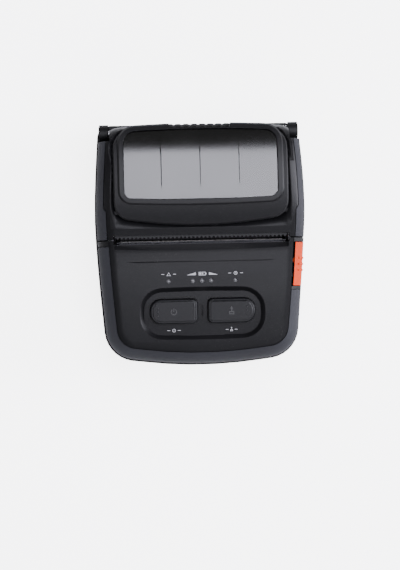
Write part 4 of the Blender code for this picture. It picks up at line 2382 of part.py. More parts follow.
def lid_panel():
    """The raised panel with its ring round the window."""
    material = charcoal_plastic()
    rings = [
        ring(PANEL_SHAPE, 0.0, below_top(-FIT_GAP)),
        ring(PANEL_SHAPE, 0.0, below_top(PANEL_EDGE - PANEL_RISE)),
        ring(PANEL_SHAPE, PANEL_EDGE, below_top(-PANEL_RISE)),
    ]
    panel = loft("lid_panel", rings, material)
    outside = -RING_WIDTH - FIT_GAP
    rings = [
        ring(WINDOW_SHAPE, outside, below_top(-PANEL_RISE / 2)),
        ring(WINDOW_SHAPE, outside, below_top(-PANEL_RISE)),
        ring(WINDOW_SHAPE, outside + RING_RISE, below_top(-PANEL_RISE - RING_RISE)),
    ]
    add(panel, loft("window_ring", rings, material))
    opening = loft(
        "panel_opening",
        [
            ring(WINDOW_SHAPE, -FIT_GAP, below_top(OVERRUN)),
            ring(WINDOW_SHAPE, -FIT_GAP, below_top(-OVERRUN)),
        ],
        material,
    )
    cut(panel, opening)
    return panel


def lid_window():
    """Smoked window with three grooves that narrow towards the slot."""
    material = smoke_window()
    rings = [
        ring(WINDOW_SHAPE, 0.0, below_top(-FIT_GAP)),
        ring(WINDOW_SHAPE, 0.0, below_top(WINDOW_EDGE - FIT_GAP - WINDOW_THICKNESS)),
        ring(WINDOW_SHAPE, WINDOW_EDGE, below_top(-FIT_GAP - WINDOW_THICKNESS)),
    ]
    window = loft("lid_window", rings, material)
    for k, x in enumerate((-FLUTE_X, 0.0, FLUTE_X)):
        sections = []
        for station in range(FLUTE_STATIONS + 1):
            share = station / FLUTE_STATIONS
            y = FLUTE_FRONT_Y + (FLUTE_REAR_Y - FLUTE_FRONT_Y) * share
            size = FLUTE_START_SHARE + (1 - FLUTE_START_SHARE) * share
            surface = top_height(y) + FIT_GAP + WINDOW_THICKNESS + FLUTE_DEPTH * size * FLUTE_CLEAR_SHARE
            sections.append(
                [
                    Vector((x - FLUTE_HALF_WIDTH * size, y, surface)),
                    Vector((x, y, surface - FLUTE_DEPTH * size * 1.1)),
                    Vector((x + FLUTE_HALF_WIDTH * size, y, surface)),
                    Vector((x, y, surface + FLUTE_DEPTH)),
                ]
            )
        cut(window, stack(f"flute_{k}", sections, material))
    return window


def platen_holder():
    """Bracket under the lid that carries the platen shaft on its two arms."""
    material = black_plastic()
    count = 6
    places = [HOLDER_FRONT_Y + (HOLDER_REAR_Y - HOLDER_FRONT_Y) * k / count for k in range(count + 1)]
    upper = [(y, top_height(y) - THIN_WALL - FIT_GAP) for y in places]
    lower = [(y, z - HOLDER_THICKNESS) for y, z in reversed(upper)]
    holder = prism("platen_holder", upper + lower, "X", -ARM_OUTER, ARM_OUTER, material)
    for side, word in ((-1, "left"), (1, "right")):
        low, high = sorted((side * ARM_INNER, side * ARM_OUTER))
        eye = rod(f"holder_eye_{word}", "X", PLATEN_AXIS, HOLDER_RING_RADIUS, low, high, material, 20)
        inner, outer = sorted((side * ARM_INNER, side * (ARM_OUTER - FIT_GAP / 3)))
        arm = block(
            f"holder_arm_{word}",
            (inner, HOLDER_FRONT_Y + FIT_GAP, PLATEN_Z),
            (outer, PLATEN_Y + HOLDER_RING_RADIUS - FIT_GAP / 3, lower[-1][1] + SHEET),
            material,
        )
        add(holder, eye, arm)
        bore = rod(
            f"holder_bore_{word}",
            "X",
            PLATEN_AXIS,
            SHAFT_RADIUS + FIT_GAP,
            low - SHEET,
            high + SHEET,
            material,
            20,
        )
        hole = rod(
            f"holder_screw_hole_{word}",
            "Z",
            (side * HOLDER_SCREW_X, HOLDER_SCREW_Y),
            SCREW_SHANK_RADIUS + FIT_GAP,
            0.0,
            CROWN_HEIGHT,
            material,
            12,
        )
        cut(holder, bore, hole)
    return holder


def holder_screw(name, side):
    material = steel()
    top = top_height(HOLDER_SCREW_Y) - FIT_GAP * 2
    lean = top_height(HOLDER_SCREW_Y + SCREW_HEAD_RADIUS) - top_height(HOLDER_SCREW_Y)
    seat = top_height(HOLDER_SCREW_Y) - THIN_WALL - HOLDER_THICKNESS - FIT_GAP * 2 - lean
    profile = [
        (SCREW_HEAD_RADIUS * 0.7, seat - SHEET),
        (SCREW_HEAD_RADIUS, seat - SHEET / 2),
        (SCREW_HEAD_RADIUS, seat),
        (SCREW_SHANK_RADIUS, seat),
        (SCREW_SHANK_RADIUS, top),
    ]
    return turned(name, "Z", (side * HOLDER_SCREW_X, HOLDER_SCREW_Y), profile, material, 12)


def platen_roller():
    return sleeve(
        "platen_roller",
        "X",
        PLATEN_AXIS,
        PLATEN_RADIUS,
        SHAFT_RADIUS + FIT_GAP,
        -ROLLER_HALF,
        ROLLER_HALF,
        platen_rubber(),
        40,
    )


def platen_shaft():
    return rod(
        "platen_shaft",
        "X",
        PLATEN_AXIS,
        SHAFT_RADIUS,
        -GEAR_OUTER - FIT_GAP,
        PLATE_OUTER + FIT_GAP,
        steel(),
        20,
    )


def platen_bush(name, side):
    low, high = sorted((side * HOOK_INNER, side * PLATE_OUTER))
    material = finish("bearing white", (0.72, 0.71, 0.68), 0.45)
    return sleeve(name, "X", PLATEN_AXIS, BUSH_RADIUS, SHAFT_RADIUS + FIT_GAP, low, high, material, 28)


def hinge_pin():
    reach = BLOCK_INNER + BLOCK_WIDTH - THIN_WALL - FIT_GAP
    return rod("hinge_pin", "X", (HINGE_Y, HINGE_Z), PIN_RADIUS, -reach, reach, steel(), 16)


def lid_spring():
    start = KNUCKLE_START + LID_KNUCKLE_LENGTH + FIT_GAP
    end = BLOCK_INNER - FIT_GAP
    return coil(
        "lid_spring",
        "X",
        (HINGE_Y, HINGE_Z),
        start,
        end,
        LID_SPRING_RADIUS,
        LID_SPRING_WIRE,
        LID_SPRING_TURNS,
        steel(),
    )


def latch_spring():
    """Torsion spring on the latch shaft. It closes the hooks and lifts the release button."""
    end = HOOK_INNER - FIT_GAP
    return coil(
        "latch_spring",
        "X",
        LATCH_AXIS,
        end - LATCH_SPRING_LENGTH,
        end,
        LATCH_SHAFT_RADIUS + FIT_GAP + HEAD_SPRING_WIRE / 2,
        HEAD_SPRING_WIRE,
        LATCH_SPRING_TURNS,
        steel(),
    )


def main():
    clear_scene()
    lower_case()
    front_cover()
    front_bumper()
    chassis()
    tear_bar()
    head_spring("head_spring_left", -1)
    head_spring("head_spring_right", 1)
    drive_motor()
    media_tray()
    media_sensor()
    main_board()
    key_board()
    light_guide()
    battery_terminal()
    data_socket()
    power_socket()
    hinge_pin()
    lid_spring()
    latch_spring()
    for k, place in enumerate(post_places()):
        case_screw(f"case_screw_{k + 1}", place)
    for side, word in ((-1, "left"), (1, "right")):
        chassis_screw_shape(side, f"chassis_screw_{word}", 0.0, steel())

    lid_axis = axis_empty("lid_axis", (0.0, HINGE_Y, HINGE_Z))
    carry(
        lid_axis,
        lid_frame(),
        lid_panel(),
        lid_window(),
        lid_strip("lid_strip_left", -1),
        lid_strip("lid_strip_right", 1),
        platen_holder(),
        platen_bush("platen_bush_left", -1),
        platen_bush("platen_bush_right", 1),
        holder_screw("holder_screw_left", -1),
        holder_screw("holder_screw_right", 1),
    )
    platen_axis = axis_empty("platen_axis", (0.0, *PLATEN_AXIS))
    platen_gear = train_gear(
        "platen_gear", PLATEN_AXIS, PLATEN_TEETH, PLATEN_PHASE, SHAFT_RADIUS + FIT_GAP
    )
    carry(platen_axis, platen_roller(), platen_shaft(), platen_gear)
    gears = (
        ("lower_gear", LOWER_AXIS, LOWER_TEETH, LOWER_PHASE),
        ("upper_gear", UPPER_AXIS, UPPER_TEETH, UPPER_PHASE),
    )
    for name, axis, teeth, phase in gears:
        gear = train_gear(name, axis, teeth, phase, STUD_RADIUS + FIT_GAP)
        carry(axis_empty(f"{name}_axis", (0.0, *axis)), gear)
    carry(axis_empty("motor_axis", (0.0, *MOTOR_AXIS)), motor_pinion())

    latch_axis = axis_empty("latch_axis", (0.0, *LATCH_AXIS))
    carry(latch_axis, latch_shaft(), latch_hook("latch_hook_left", -1), latch_hook("latch_hook_right", 1))
    release_y = (RELEASE_FRONT_Y + RELEASE_REAR_Y) / 2
    release_axis = axis_empty("release_axis", (HALF_WIDTH - SHOULDER, release_y, RELEASE_LOW))
    carry(release_axis, release_button())
    middle_x = (BUTTON_INNER + BUTTON_OUTER) / 2
    middle_y = (BUTTON_FRONT_Y + BUTTON_REAR_Y) / 2
    for name, side in (("power_button", -1), ("feed_button", 1)):
        axis = axis_empty(f"{name}_axis", (side * middle_x, middle_y, top_height(middle_y)))
        carry(axis, button_key(name, side, button_rubber()))

    head_axis = axis_empty("head_axis", (0.0, (HEAD_REAR_Y + HEAD_FRONT_Y) / 2, HEAD_LOW))
    carry(head_axis, head_plate(), print_head())
    for name, side in (("media_guide_left", -1), ("media_guide_right", 1)):
        carry(axis_empty(f"{name}_axis", (side * ARM_INNER, ROLL_Y, TRAY_TOP)), media_guide(name, side))
    carry(axis_empty("guide_pinion_axis", (0.0, ROLL_Y, RACK_LOW)), guide_pinion())
    carry(axis_empty("battery_axis", (0.0, (BATTERY_FRONT_Y + BATTERY_REAR_Y) / 2, 0.0)), battery_pack())
    carry(axis_empty("catch_axis", (0.0, CATCH_BODY_Y[0], CATCH_LOW)), battery_catch())
    port_y = (PORT_FRONT_Y + PORT_REAR_Y) / 2
    port_x = (body_width(PORT_FRONT_Y) + body_width(PORT_REAR_Y)) / 2 - PORT_INSET
    carry(axis_empty("port_axis", (-port_x, port_y, PORT_LOW)), port_cover())


main()
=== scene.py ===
"""Finish of a portable label printer: smooth shells, moulded and printed details, materials and studio."""

import json
import math

import bmesh
import bpy
from bpy.props import FloatProperty, FloatVectorProperty, PointerProperty
from mathutils import Matrix, Vector

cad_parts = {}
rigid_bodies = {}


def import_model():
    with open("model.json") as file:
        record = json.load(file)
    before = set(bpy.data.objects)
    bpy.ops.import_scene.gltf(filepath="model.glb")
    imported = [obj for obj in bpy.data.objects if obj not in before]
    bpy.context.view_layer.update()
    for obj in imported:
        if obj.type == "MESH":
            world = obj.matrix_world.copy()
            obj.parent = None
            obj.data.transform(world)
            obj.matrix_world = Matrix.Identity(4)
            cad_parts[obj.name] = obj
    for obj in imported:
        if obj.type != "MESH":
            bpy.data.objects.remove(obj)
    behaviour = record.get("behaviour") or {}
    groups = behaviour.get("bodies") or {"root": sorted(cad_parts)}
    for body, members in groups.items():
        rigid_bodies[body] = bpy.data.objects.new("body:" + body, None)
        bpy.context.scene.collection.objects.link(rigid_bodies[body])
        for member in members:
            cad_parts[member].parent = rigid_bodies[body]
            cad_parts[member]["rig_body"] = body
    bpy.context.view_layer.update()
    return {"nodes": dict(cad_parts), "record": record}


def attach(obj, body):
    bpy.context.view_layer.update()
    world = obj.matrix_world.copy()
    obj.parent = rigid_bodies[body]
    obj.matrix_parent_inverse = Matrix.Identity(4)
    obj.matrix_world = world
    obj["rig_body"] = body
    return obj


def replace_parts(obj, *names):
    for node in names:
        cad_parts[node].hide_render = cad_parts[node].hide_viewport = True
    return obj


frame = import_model()
NODES = frame["nodes"]
SLOTS = {row["node"]: row["material_slot"] for row in frame["record"]["subparts"]}

bl_info = {
    "name": "Label Printer Finish",
    "version": (1, 0, 0),
    "blender": (4, 5, 0),
    "location": "View3D > Sidebar > Printer",
    "description": "Dresses the portable label printer and sets up its studio",
    "category": "Object",
}

MM = 0.001
NEAR = 0.01 * MM
MERGE = 0.002 * MM
FINE_MERGE = 0.001 * MM
SHARP_ANGLE = math.radians(24.0)
SMOOTH_ANGLE = math.radians(32.0)

# Top surface of the body
FRONT_HEIGHT = 49.1949 * MM
FRONT_FALL = 9.0 * MM
FRONT_FALL_POWER = 1.6
HALF_LENGTH = 60.0 * MM
CROWN_HEIGHT = 57.4 * MM
CROWN_Y = 32.0 * MM
CROWN_RADIUS = 62.4 * MM

# Key field
KEY_Y = -33.45 * MM
KEY_X = 14.2 * MM
KEY_RISE = 0.6 * MM
FIELD_DEPTH = 2.0 * MM
LABEL_Y = -43.0 * MM
MARK_ROW_Y = -15.0 * MM
LAMP_OUTER_X = 16.4 * MM
DOTS_X = 22.0 * MM

# Tear bar
TEAR_HALF = 41.5 * MM
TEAR_FRONT_Y = 0.3 * MM
TEAR_REAR_Y = 1.1 * MM
TEAR_TOP = 48.6 * MM
TEAR_BOTTOM = 44.6 * MM
TOOTH_PITCH = 0.83 * MM
TOOTH_DEPTH = 0.45 * MM
TOOTH_TIP = (0.16, 0.22)


def colour_setting(name, description, default):
    words = {"name": name, "description": description}
    return FloatVectorProperty(**words, subtype="COLOR", size=3, default=default, min=0.0, max=1.0)


def number_setting(name, description, default, low, high, **kind):
    return FloatProperty(name=name, description=description, default=default, min=low, max=high, **kind)


def length_setting(*values):
    """A length in metres, from the same values as number_setting."""
    return number_setting(*values, subtype="DISTANCE", unit="LENGTH")


def angle_setting(name, description, degrees):
    words = {"name": name, "description": description}
    return FloatProperty(**words, subtype="ANGLE", unit="ROTATION", default=math.radians(degrees))


class PrinterColours(bpy.types.PropertyGroup):
    body: colour_setting("Body", "Charcoal of the lid and the front cover", (0.0046, 0.0046, 0.0052))
    edge: colour_setting(
        "Lower case", "Black of the lower case, the hinge blocks and the battery", (0.0030, 0.0030, 0.0033)
    )
    bumper: colour_setting("Bumper", "Grey of the bumper and the side strips", (0.0235, 0.0240, 0.0280))
    release: colour_setting("Release button", "Orange of the side release", (0.56, 0.038, 0.001))
    keys: colour_setting("Keys", "Dark grey of the two keys", (0.0052, 0.0052, 0.0060))
    ink: colour_setting("Print", "Pale ink of the printed marks", (0.36, 0.36, 0.37))


class PrinterSurfaces(bpy.types.PropertyGroup):
    edge_radius: length_setting(
        "Edge radius", "Radius of the moulded edges of the shells", 0.16 * MM, 0.02 * MM, 0.5 * MM
    )
    grain_size: length_setting(
        "Grain size", "Width of one cell of the spark-eroded grain", 0.30 * MM, 0.05 * MM, 2.0 * MM
    )
    grain_depth: length_setting("Grain depth", "Depth of the grain in the plastic", 0.012 * MM, 0.0, 0.1 * MM)
    ink_height: length_setting(
        "Print height", "Thickness of the printed ink", 0.05 * MM, 0.01 * MM, 0.3 * MM
    )


class PrinterStudio(bpy.types.PropertyGroup):
    swing: angle_setting("Camera swing", "How far the camera stands to the left of straight above", -2.36)
    tilt: angle_setting("Camera tilt", "How far the camera stands towards the keys from straight above", 1.02)
    roll: angle_setting("Camera roll", "Turn of the camera about its own view line", -1.24)
    distance: length_setting(
        "Camera distance", "Distance from the camera to the point it looks at", 1.0773, 0.3, 5.0
    )
    aim: FloatVectorProperty(
        name="Aim",
        description="Point that the camera looks at",
        subtype="TRANSLATION",
        unit="LENGTH",
        size=3,
        default=(-0.83 * MM, -20.42 * MM, 40.0 * MM),
    )
    lens: number_setting(
        "Lens", "Focal length for a frame 36 mm long", 137.8, 10.0, 400.0, subtype="DISTANCE_CAMERA"
    )
    floor: colour_setting("Floor", "Pale colour of the floor", (0.86, 0.86, 0.86))
    floor_glow: number_setting(
        "Floor glow", "Light that the floor's white acrylic sheet gives off", 4.6, 0.0, 20.0
    )
    key_power: number_setting(
        "Key light", "Power of the soft box overhead", 11.0, 0.0, 200.0, subtype="POWER", unit="POWER"
    )


def top_height(y):
    """Height of the body's top surface at the place y along the printer."""
    if y > 0:
        return CROWN_HEIGHT - (y - CROWN_Y) ** 2 / (2 * CROWN_RADIUS)
    return FRONT_HEIGHT - FRONT_FALL * (-y / HALF_LENGTH) ** FRONT_FALL_POWER


def top_slope(y):
    """Angle of the top surface at y, as a turn about X."""
    step = 0.1 * MM
    return math.atan2(top_height(y + step) - top_height(y - step), 2 * step)


# Selection and edit mode


def only(obj):
    """Makes obj the one selected and active object."""
    bpy.ops.object.select_all(action="DESELECT")
    obj.hide_set(False)
    obj.select_set(True)
    bpy.context.view_layer.objects.active = obj
    return obj


def editing(obj, mode="FACE", everything=False):
    """Opens obj in edit mode, with all of it selected or nothing."""
    only(obj)
    bpy.ops.object.mode_set(mode="EDIT")
    bpy.ops.mesh.select_mode(type=mode)
    bpy.ops.mesh.select_all(action="SELECT" if everything else "DESELECT")


def leave():
    bpy.ops.object.mode_set(mode="OBJECT")


def pick(obj, kind, test):
    """Selects the verts, edges or faces of obj, open in edit mode, that pass the test."""
    mesh = bmesh.from_edit_mesh(obj.data)
    for item in getattr(mesh, kind):
        item.select_set(bool(test(item)))
    if kind == "verts":
        mesh.select_flush_mode()
    bmesh.update_edit_mesh(obj.data)


def apply_modifier(obj, kind, **settings):
    only(obj)
    modifier = obj.modifiers.new(kind.title(), kind)
    for key, value in settings.items():
        setattr(modifier, key, value)
    bpy.ops.object.modifier_apply(modifier=modifier.name)


def settle(obj, name, body, material, soften=math.radians(30.0)):
    """Puts the place of a finished piece in its mesh, names it and lets it ride on its body."""
    only(obj)
    bpy.ops.object.transform_apply(location=True, rotation=True, scale=True)
    obj.name = name
    obj.data.name = name
    bpy.ops.object.shade_smooth_by_angle(angle=soften)
    obj.data.materials.clear()
    obj.data.materials.append(material)
    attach(obj, body)


def joined(parts):
    """One object from several."""
    bpy.ops.object.select_all(action="DESELECT")
    for part in parts:
        part.select_set(True)
    bpy.context.view_layer.objects.active = parts[0]
    if len(parts) > 1:
        bpy.ops.object.join()
    return parts[0]


def sized(*size):
    """Gives the new primitive its size and puts its place in its mesh."""
    made = only(bpy.context.object)
    made.scale = size
    bpy.ops.object.transform_apply(location=True, scale=True)
    return made


def flat_plane(length, width, centre=(0.0, 0.0, 0.0)):
    bpy.ops.mesh.primitive_plane_add(size=1.0, location=centre)
    return sized(length, width, 1.0)


def block_of(size, centre):
    bpy.ops.mesh.primitive_cube_add(size=1.0, location=centre)
    return sized(*size)


def raised(obj, height):
    """Extrudes the flat faces of obj by height."""
    editing(obj, "FACE", everything=True)
    bpy.ops.mesh.extrude_region_move(TRANSFORM_OT_translate={"value": (0.0, 0.0, height)})
    bpy.ops.mesh.select_all(action="SELECT")
    bpy.ops.mesh.normals_make_consistent(inside=False)
    leave()
    return obj


# Shader node groups


class Sheet:
    """A node tree with short calls for adding nodes and links."""

    def __init__(self, tree):
        self.tree = tree

    def node(self, kind, **values):
        made = self.tree.nodes.new(kind)
        for key, value in values.items():
            setattr(made, key, value)
        return made

    def link(self, source, target):
        self.tree.links.new(source, target)

    def place(self):
        return self.node("ShaderNodeTexCoord").outputs["Object"]

    def feed(self, value, target):
        """Links value to the socket target if it is a node's output, and sets it there if it is plain."""
        if isinstance(value, bpy.types.NodeSocket):
            self.link(value, target)
        else:
            target.default_value = value

    def maths(self, operation, *values, clamp=False):
        made = self.node("ShaderNodeMath", operation=operation, use_clamp=clamp)
        for slot, value in zip(made.inputs, values):
            self.feed(value, slot)
        return made.outputs[0]

    def spread(self, source, low, high, start=0.0, end=1.0):
        """Spreads source from the range start to end over the range low to high."""
        made = self.node("ShaderNodeMapRange")
        self.link(source, made.inputs["Value"])
        for name, value in (("From Min", start), ("From Max", end), ("To Min", low), ("To Max", high)):
            self.feed(value, made.inputs[name])
        return made.outputs["Result"]


def group(name, inputs, output):
    """A new shader node group with float inputs, given as name and default, and one float output."""
    tree = bpy.data.node_groups.new(name, "ShaderNodeTree")
    for label, value in inputs:
        socket = tree.interface.new_socket(label, in_out="INPUT", socket_type="NodeSocketFloat")
        socket.default_value = value
    tree.interface.new_socket(output, in_out="OUTPUT", socket_type="NodeSocketFloat")
    sheet = Sheet(tree)
    entry = sheet.node("NodeGroupInput")
    leaving = sheet.node("NodeGroupOutput")
    return sheet, entry.outputs, leaving.inputs


def noise_at(sheet, scale, detail, roughness, distortion=0.0, stretch=None):
    """Noise on Object coordinates. Scale is in cells per metre."""
    place = sheet.place()
    if stretch:
        mapping = sheet.node("ShaderNodeMapping")
        mapping.inputs["Scale"].default_value = stretch
        sheet.link(place, mapping.inputs["Vector"])
        place = mapping.outputs["Vector"]
    noise = sheet.node("ShaderNodeTexNoise")
    sheet.link(place, noise.inputs["Vector"])
    names = ("Scale", "Detail", "Roughness", "Distortion")
    for name, value in zip(names, (scale, detail, roughness, distortion)):
        sheet.feed(value, noise.inputs[name])
    return noise.outputs["Fac"]


def moulded_grain():
    """Spark-eroded grain: rounded cells of two sizes, as a height from 0 to 1."""
    defaults = (("Cells per Metre", 3300.0), ("Coarse Share", 0.35))
    sheet, given, out = group("Moulded Grain", defaults, "Height")
    place = sheet.place()
    cells = sheet.node("ShaderNodeTexVoronoi", feature="SMOOTH_F1")
    sheet.link(place, cells.inputs["Vector"])
    sheet.link(given["Cells per Metre"], cells.inputs["Scale"])
    cells.inputs["Smoothness"].default_value = 0.6
    coarse = noise_at(sheet, sheet.maths("MULTIPLY", given["Cells per Metre"], 0.4), 2.0, 0.6)
    share = sheet.maths("MULTIPLY", coarse, given["Coarse Share"])
    rest = sheet.maths("SUBTRACT", 1.0, given["Coarse Share"])
    fine = sheet.maths("MULTIPLY", cells.outputs["Distance"], rest)
    sheet.link(sheet.maths("ADD", share, fine), out["Height"])
    return sheet.tree


def tone_drift():
    """Slow cloudy change over a surface, between Low and High."""
    sheet, given, out = group("Tone Drift", (("Cells per Metre", 40.0), ("Low", 0.9), ("High", 1.1)), "Value")
    cloud = noise_at(sheet, given["Cells per Metre"], 3.0, 0.55)
    sheet.link(sheet.spread(cloud, given["Low"], given["High"], 0.3, 0.7), out["Value"])
    return sheet.tree


def fine_dust():
    """Settled specks on faces that look up."""
    sheet, given, out = group("Fine Dust", (("Amount", 0.2),), "Mask")
    specks = noise_at(sheet, 2600.0, 2.0, 0.7)
    patches = noise_at(sheet, 60.0, 2.0, 0.5)
    speck = sheet.spread(specks, 0.0, 1.0, 0.66, 0.72)
    patch = sheet.spread(patches, 0.2, 1.0, 0.4, 0.7)
    normal = sheet.node("ShaderNodeNewGeometry").outputs["Normal"]
    axes = sheet.node("ShaderNodeSeparateXYZ")
    sheet.link(normal, axes.inputs[0])
    upward = sheet.spread(axes.outputs["Z"], 0.0, 1.0, 0.5, 1.0)
    mask = sheet.maths("MULTIPLY", sheet.maths("MULTIPLY", speck, patch), upward)
    sheet.link(sheet.maths("MULTIPLY", mask, given["Amount"], clamp=True), out["Mask"])
    return sheet.tree


def drawn_lines():
    """Fine lines along X left by rolling or grinding, as a height from 0 to 1."""
    sheet, given, out = group("Drawn Lines", (("Lines per Metre", 9000.0), ("Blend", 0.7)), "Height")
    lines = noise_at(sheet, given["Lines per Metre"], 3.0, 0.65, stretch=(0.012, 1.0, 1.0))
    clouds = noise_at(sheet, 300.0, 2.0, 0.5)
    mixed = sheet.maths(
        "ADD",
        sheet.maths("MULTIPLY", lines, given["Blend"]),
        sheet.maths("MULTIPLY", clouds, sheet.maths("SUBTRACT", 1.0, given["Blend"])),
    )
    sheet.link(mixed, out["Height"])
    return sheet.tree


def hair_scratches():
    """Sparse hairline scratches in two directions, as a mask."""
    sheet, given, out = group("Hair Scratches", (("Amount", 0.3),), "Mask")
    first = noise_at(sheet, 1500.0, 2.0, 0.6, 0.2, (0.03, 1.0, 1.0))
    second = noise_at(sheet, 1700.0, 2.0, 0.6, 0.3, (1.0, 0.04, 1.0))
    along = sheet.spread(first, 0.0, 1.0, 0.70, 0.74)
    across = sheet.spread(second, 0.0, 1.0, 0.71, 0.75)
    mask = sheet.maths("MAXIMUM", along, across)
    sheet.link(sheet.maths("MULTIPLY", mask, given["Amount"], clamp=True), out["Mask"])
    return sheet.tree


# Materials

DUST_COLOUR = (0.30, 0.29, 0.27, 1.0)
# Slot or use, name, colour setting, roughness, cells and depth against the settings, dust, specular level
GRAINED = (
    ("charcoal_plastic", "Charcoal Plastic", "body", 0.40, 1.0, 1.0, 0.15, 0.13),
    ("black_plastic", "Black Plastic", "edge", 0.50, 1.0, 1.0, 0.15, 0.17),
    ("grey_rubber", "Grey Elastomer", "bumper", 0.66, 1.2, 0.5, 0.15, 0.16),
    ("orange_plastic", "Orange Plastic", "release", 0.60, 1.0, 0.6, 0.02, 0.12),
    ("button_rubber", "Key Plastic", "keys", 0.42, 1.3, 0.6, 0.15, 0.17),
    ("key_relief", "Polished Relief", "keys", 0.36, 2.0, 0.3, 0.05, 0.45),
    ("bezel", "Polished Bezel", "body", 0.38, 2.0, 0.15, 0.1, 0.17),
)
# Slot or use, name, colour, roughness, cells per metre, depth against the setting, dust and specular level
FIXED_GRAIN = (
    ("gear_nylon", "Natural Nylon", (0.70, 0.68, 0.60), 0.42, 900.0, 0.5, 0.05),
    ("bearing_white", "White Acetal", (0.78, 0.77, 0.73), 0.36, 900.0, 0.4, 0.05),
    ("platen_rubber", "Ground Rubber", (0.012, 0.012, 0.013), 0.7, 5200.0, 0.8, 0.15),
    ("head_ceramic", "Glazed Ceramic", (0.10, 0.094, 0.086), 0.28, 700.0, 0.2, 0.0),
    ("black_acetal", "Black Acetal", (0.010, 0.010, 0.011), 0.36, 900.0, 0.4, 0.05, 0.3),
)
# Slot or use, name, colour, roughness, lines per metre, depth
METALS = (
    ("steel", "Bright Steel", (0.42, 0.42, 0.43), 0.34, 9000.0, 0.004 * MM),
    ("ground_steel", "Ground Steel", (0.095, 0.095, 0.10), 0.28, 7000.0, 0.004 * MM),
    ("aluminium", "Milled Aluminium", (0.72, 0.73, 0.74), 0.38, 5000.0, 0.006 * MM),
    ("brass", "Contact Brass", (0.78, 0.56, 0.24), 0.28, 7000.0, 0.003 * MM),
    ("anodised", "Dark Anodised Aluminium", (0.035, 0.035, 0.038), 0.42, 5000.0, 0.006 * MM),
    ("phosphated", "Phosphated Steel", (0.10, 0.10, 0.105), 0.46, 6000.0, 0.006 * MM),
)
# Nodes that are finished unlike the rest of their slot
SPECIAL = {"head_plate": "anodised", "chassis": "phosphated", "platen_gear": "black_acetal"}


class Finish(Sheet):
    """A material with one Principled BSDF, and calls that feed it."""

    def __init__(self, name, colour, roughness, **plain):
        self.material = bpy.data.materials.new(name)
        self.material.use_nodes = True
        super().__init__(self.material.node_tree)
        self.shader = self.tree.nodes["Principled BSDF"]
        self.colour = (*colour, 1.0)
        self.shader.inputs["Base Color"].default_value = self.colour
        self.shader.inputs["Roughness"].default_value = roughness
        self.material.diffuse_color = self.colour
        for key, value in plain.items():
            self.shader.inputs[key.replace("_", " ")].default_value = value

    def placed(self, tree, **values):
        made = self.node("ShaderNodeGroup", node_tree=tree)
        for key, value in values.items():
            made.inputs[key.replace("_", " ")].default_value = value
        return made.outputs[0]

    def tinted(self, drift, dust=None):
        """Base colour times drift, with dust over it."""
        scale = self.node("ShaderNodeVectorMath", operation="SCALE")
        scale.inputs[0].default_value = self.colour[:3]
        self.link(drift, scale.inputs["Scale"])
        colour = scale.outputs["Vector"]
        if dust is not None:
            mix = self.node("ShaderNodeMix", data_type="RGBA")
            self.link(dust, mix.inputs["Factor"])
            self.link(colour, mix.inputs["A"])
            mix.inputs["B"].default_value = DUST_COLOUR
            colour = mix.outputs["Result"]
        self.link(colour, self.shader.inputs["Base Color"])

    def roughened(self, source, low, high):
        self.link(self.spread(source, low, high), self.shader.inputs["Roughness"])

    def bumped(self, height, depth):
        bump = self.node("ShaderNodeBump")
        bump.inputs["Distance"].default_value = depth
        self.link(height, bump.inputs["Height"])
        self.link(bump.outputs["Normal"], self.shader.inputs["Normal"])


def grained(name, colour, roughness, cells, depth, dust, specular=0.5):
    """Grained plastic or elastomer with a slow change of tone and a trace of dust."""
    made = Finish(name, colour, roughness, Specular_IOR_Level=specular)
    grain = made.placed(SHARED["grain"], Cells_per_Metre=cells)
    drift = made.placed(SHARED["drift"], Cells_per_Metre=38.0, Low=0.88, High=1.12)
    specks = made.placed(SHARED["dust"], Amount=dust)
    made.tinted(drift, specks)
    made.roughened(grain, roughness - 0.05, roughness + 0.06)
    made.bumped(grain, depth)
    return made.material


def metal(name, colour, roughness, lines, depth):
    made = Finish(name, colour, roughness, Metallic=1.0)
    drawn = made.placed(SHARED["lines"], Lines_per_Metre=lines)
    made.tinted(made.placed(SHARED["drift"], Cells_per_Metre=90.0, Low=0.93, High=1.05))
    made.roughened(drawn, roughness - 0.08, roughness + 0.12)
    made.bumped(drawn, depth)
    return made.material


def smoked_window(name):
    """Polished smoke-tinted sheet: dark clear plastic with faint wiping marks."""
    made = Finish(name, (0.028, 0.028, 0.030), 0.16, Transmission_Weight=1.0, IOR=1.56)
    scratch = made.placed(SHARED["scratches"], Amount=0.5)
    cloud = made.placed(SHARED["drift"], Cells_per_Metre=55.0, Low=0.15, High=0.18)
    worn = made.maths("ADD", cloud, made.maths("MULTIPLY", scratch, 0.12))
    made.link(worn, made.shader.inputs["Roughness"])
    return made.material


def lamp_lens(name):
    """Unlit milky lens: smoky plastic that is a little paler in random patches."""
    gloss = {"Specular_IOR_Level": 0.35, "Coat_Weight": 0.3, "Coat_Roughness": 0.1}
    made = Finish(name, (0.030, 0.030, 0.033), 0.25, **gloss)
    made.tinted(made.placed(SHARED["drift"], Cells_per_Metre=1400.0, Low=0.8, High=1.5))
    made.roughened(made.placed(SHARED["drift"], Cells_per_Metre=900.0, Low=0.0, High=1.0), 0.2, 0.3)
    return made.material


def circuit_mask(name):
    """Green solder mask with faint tracks under it."""
    made = Finish(name, (0.012, 0.085, 0.035), 0.32)
    place = made.place()
    bricks = made.node("ShaderNodeTexBrick")
    made.link(place, bricks.inputs["Vector"])
    for name, value in (
        ("Scale", 260.0),
        ("Mortar Size", 0.04),
        ("Color1", (0.010, 0.075, 0.030, 1.0)),
        ("Color2", (0.012, 0.090, 0.038, 1.0)),
        ("Mortar", (0.022, 0.135, 0.060, 1.0)),
    ):
        bricks.inputs[name].default_value = value
    made.link(bricks.outputs["Color"], made.shader.inputs["Base Color"])
    made.bumped(bricks.outputs["Fac"], 0.02 * MM)
    return made.material


SHARED = {}
FINISHES = {}


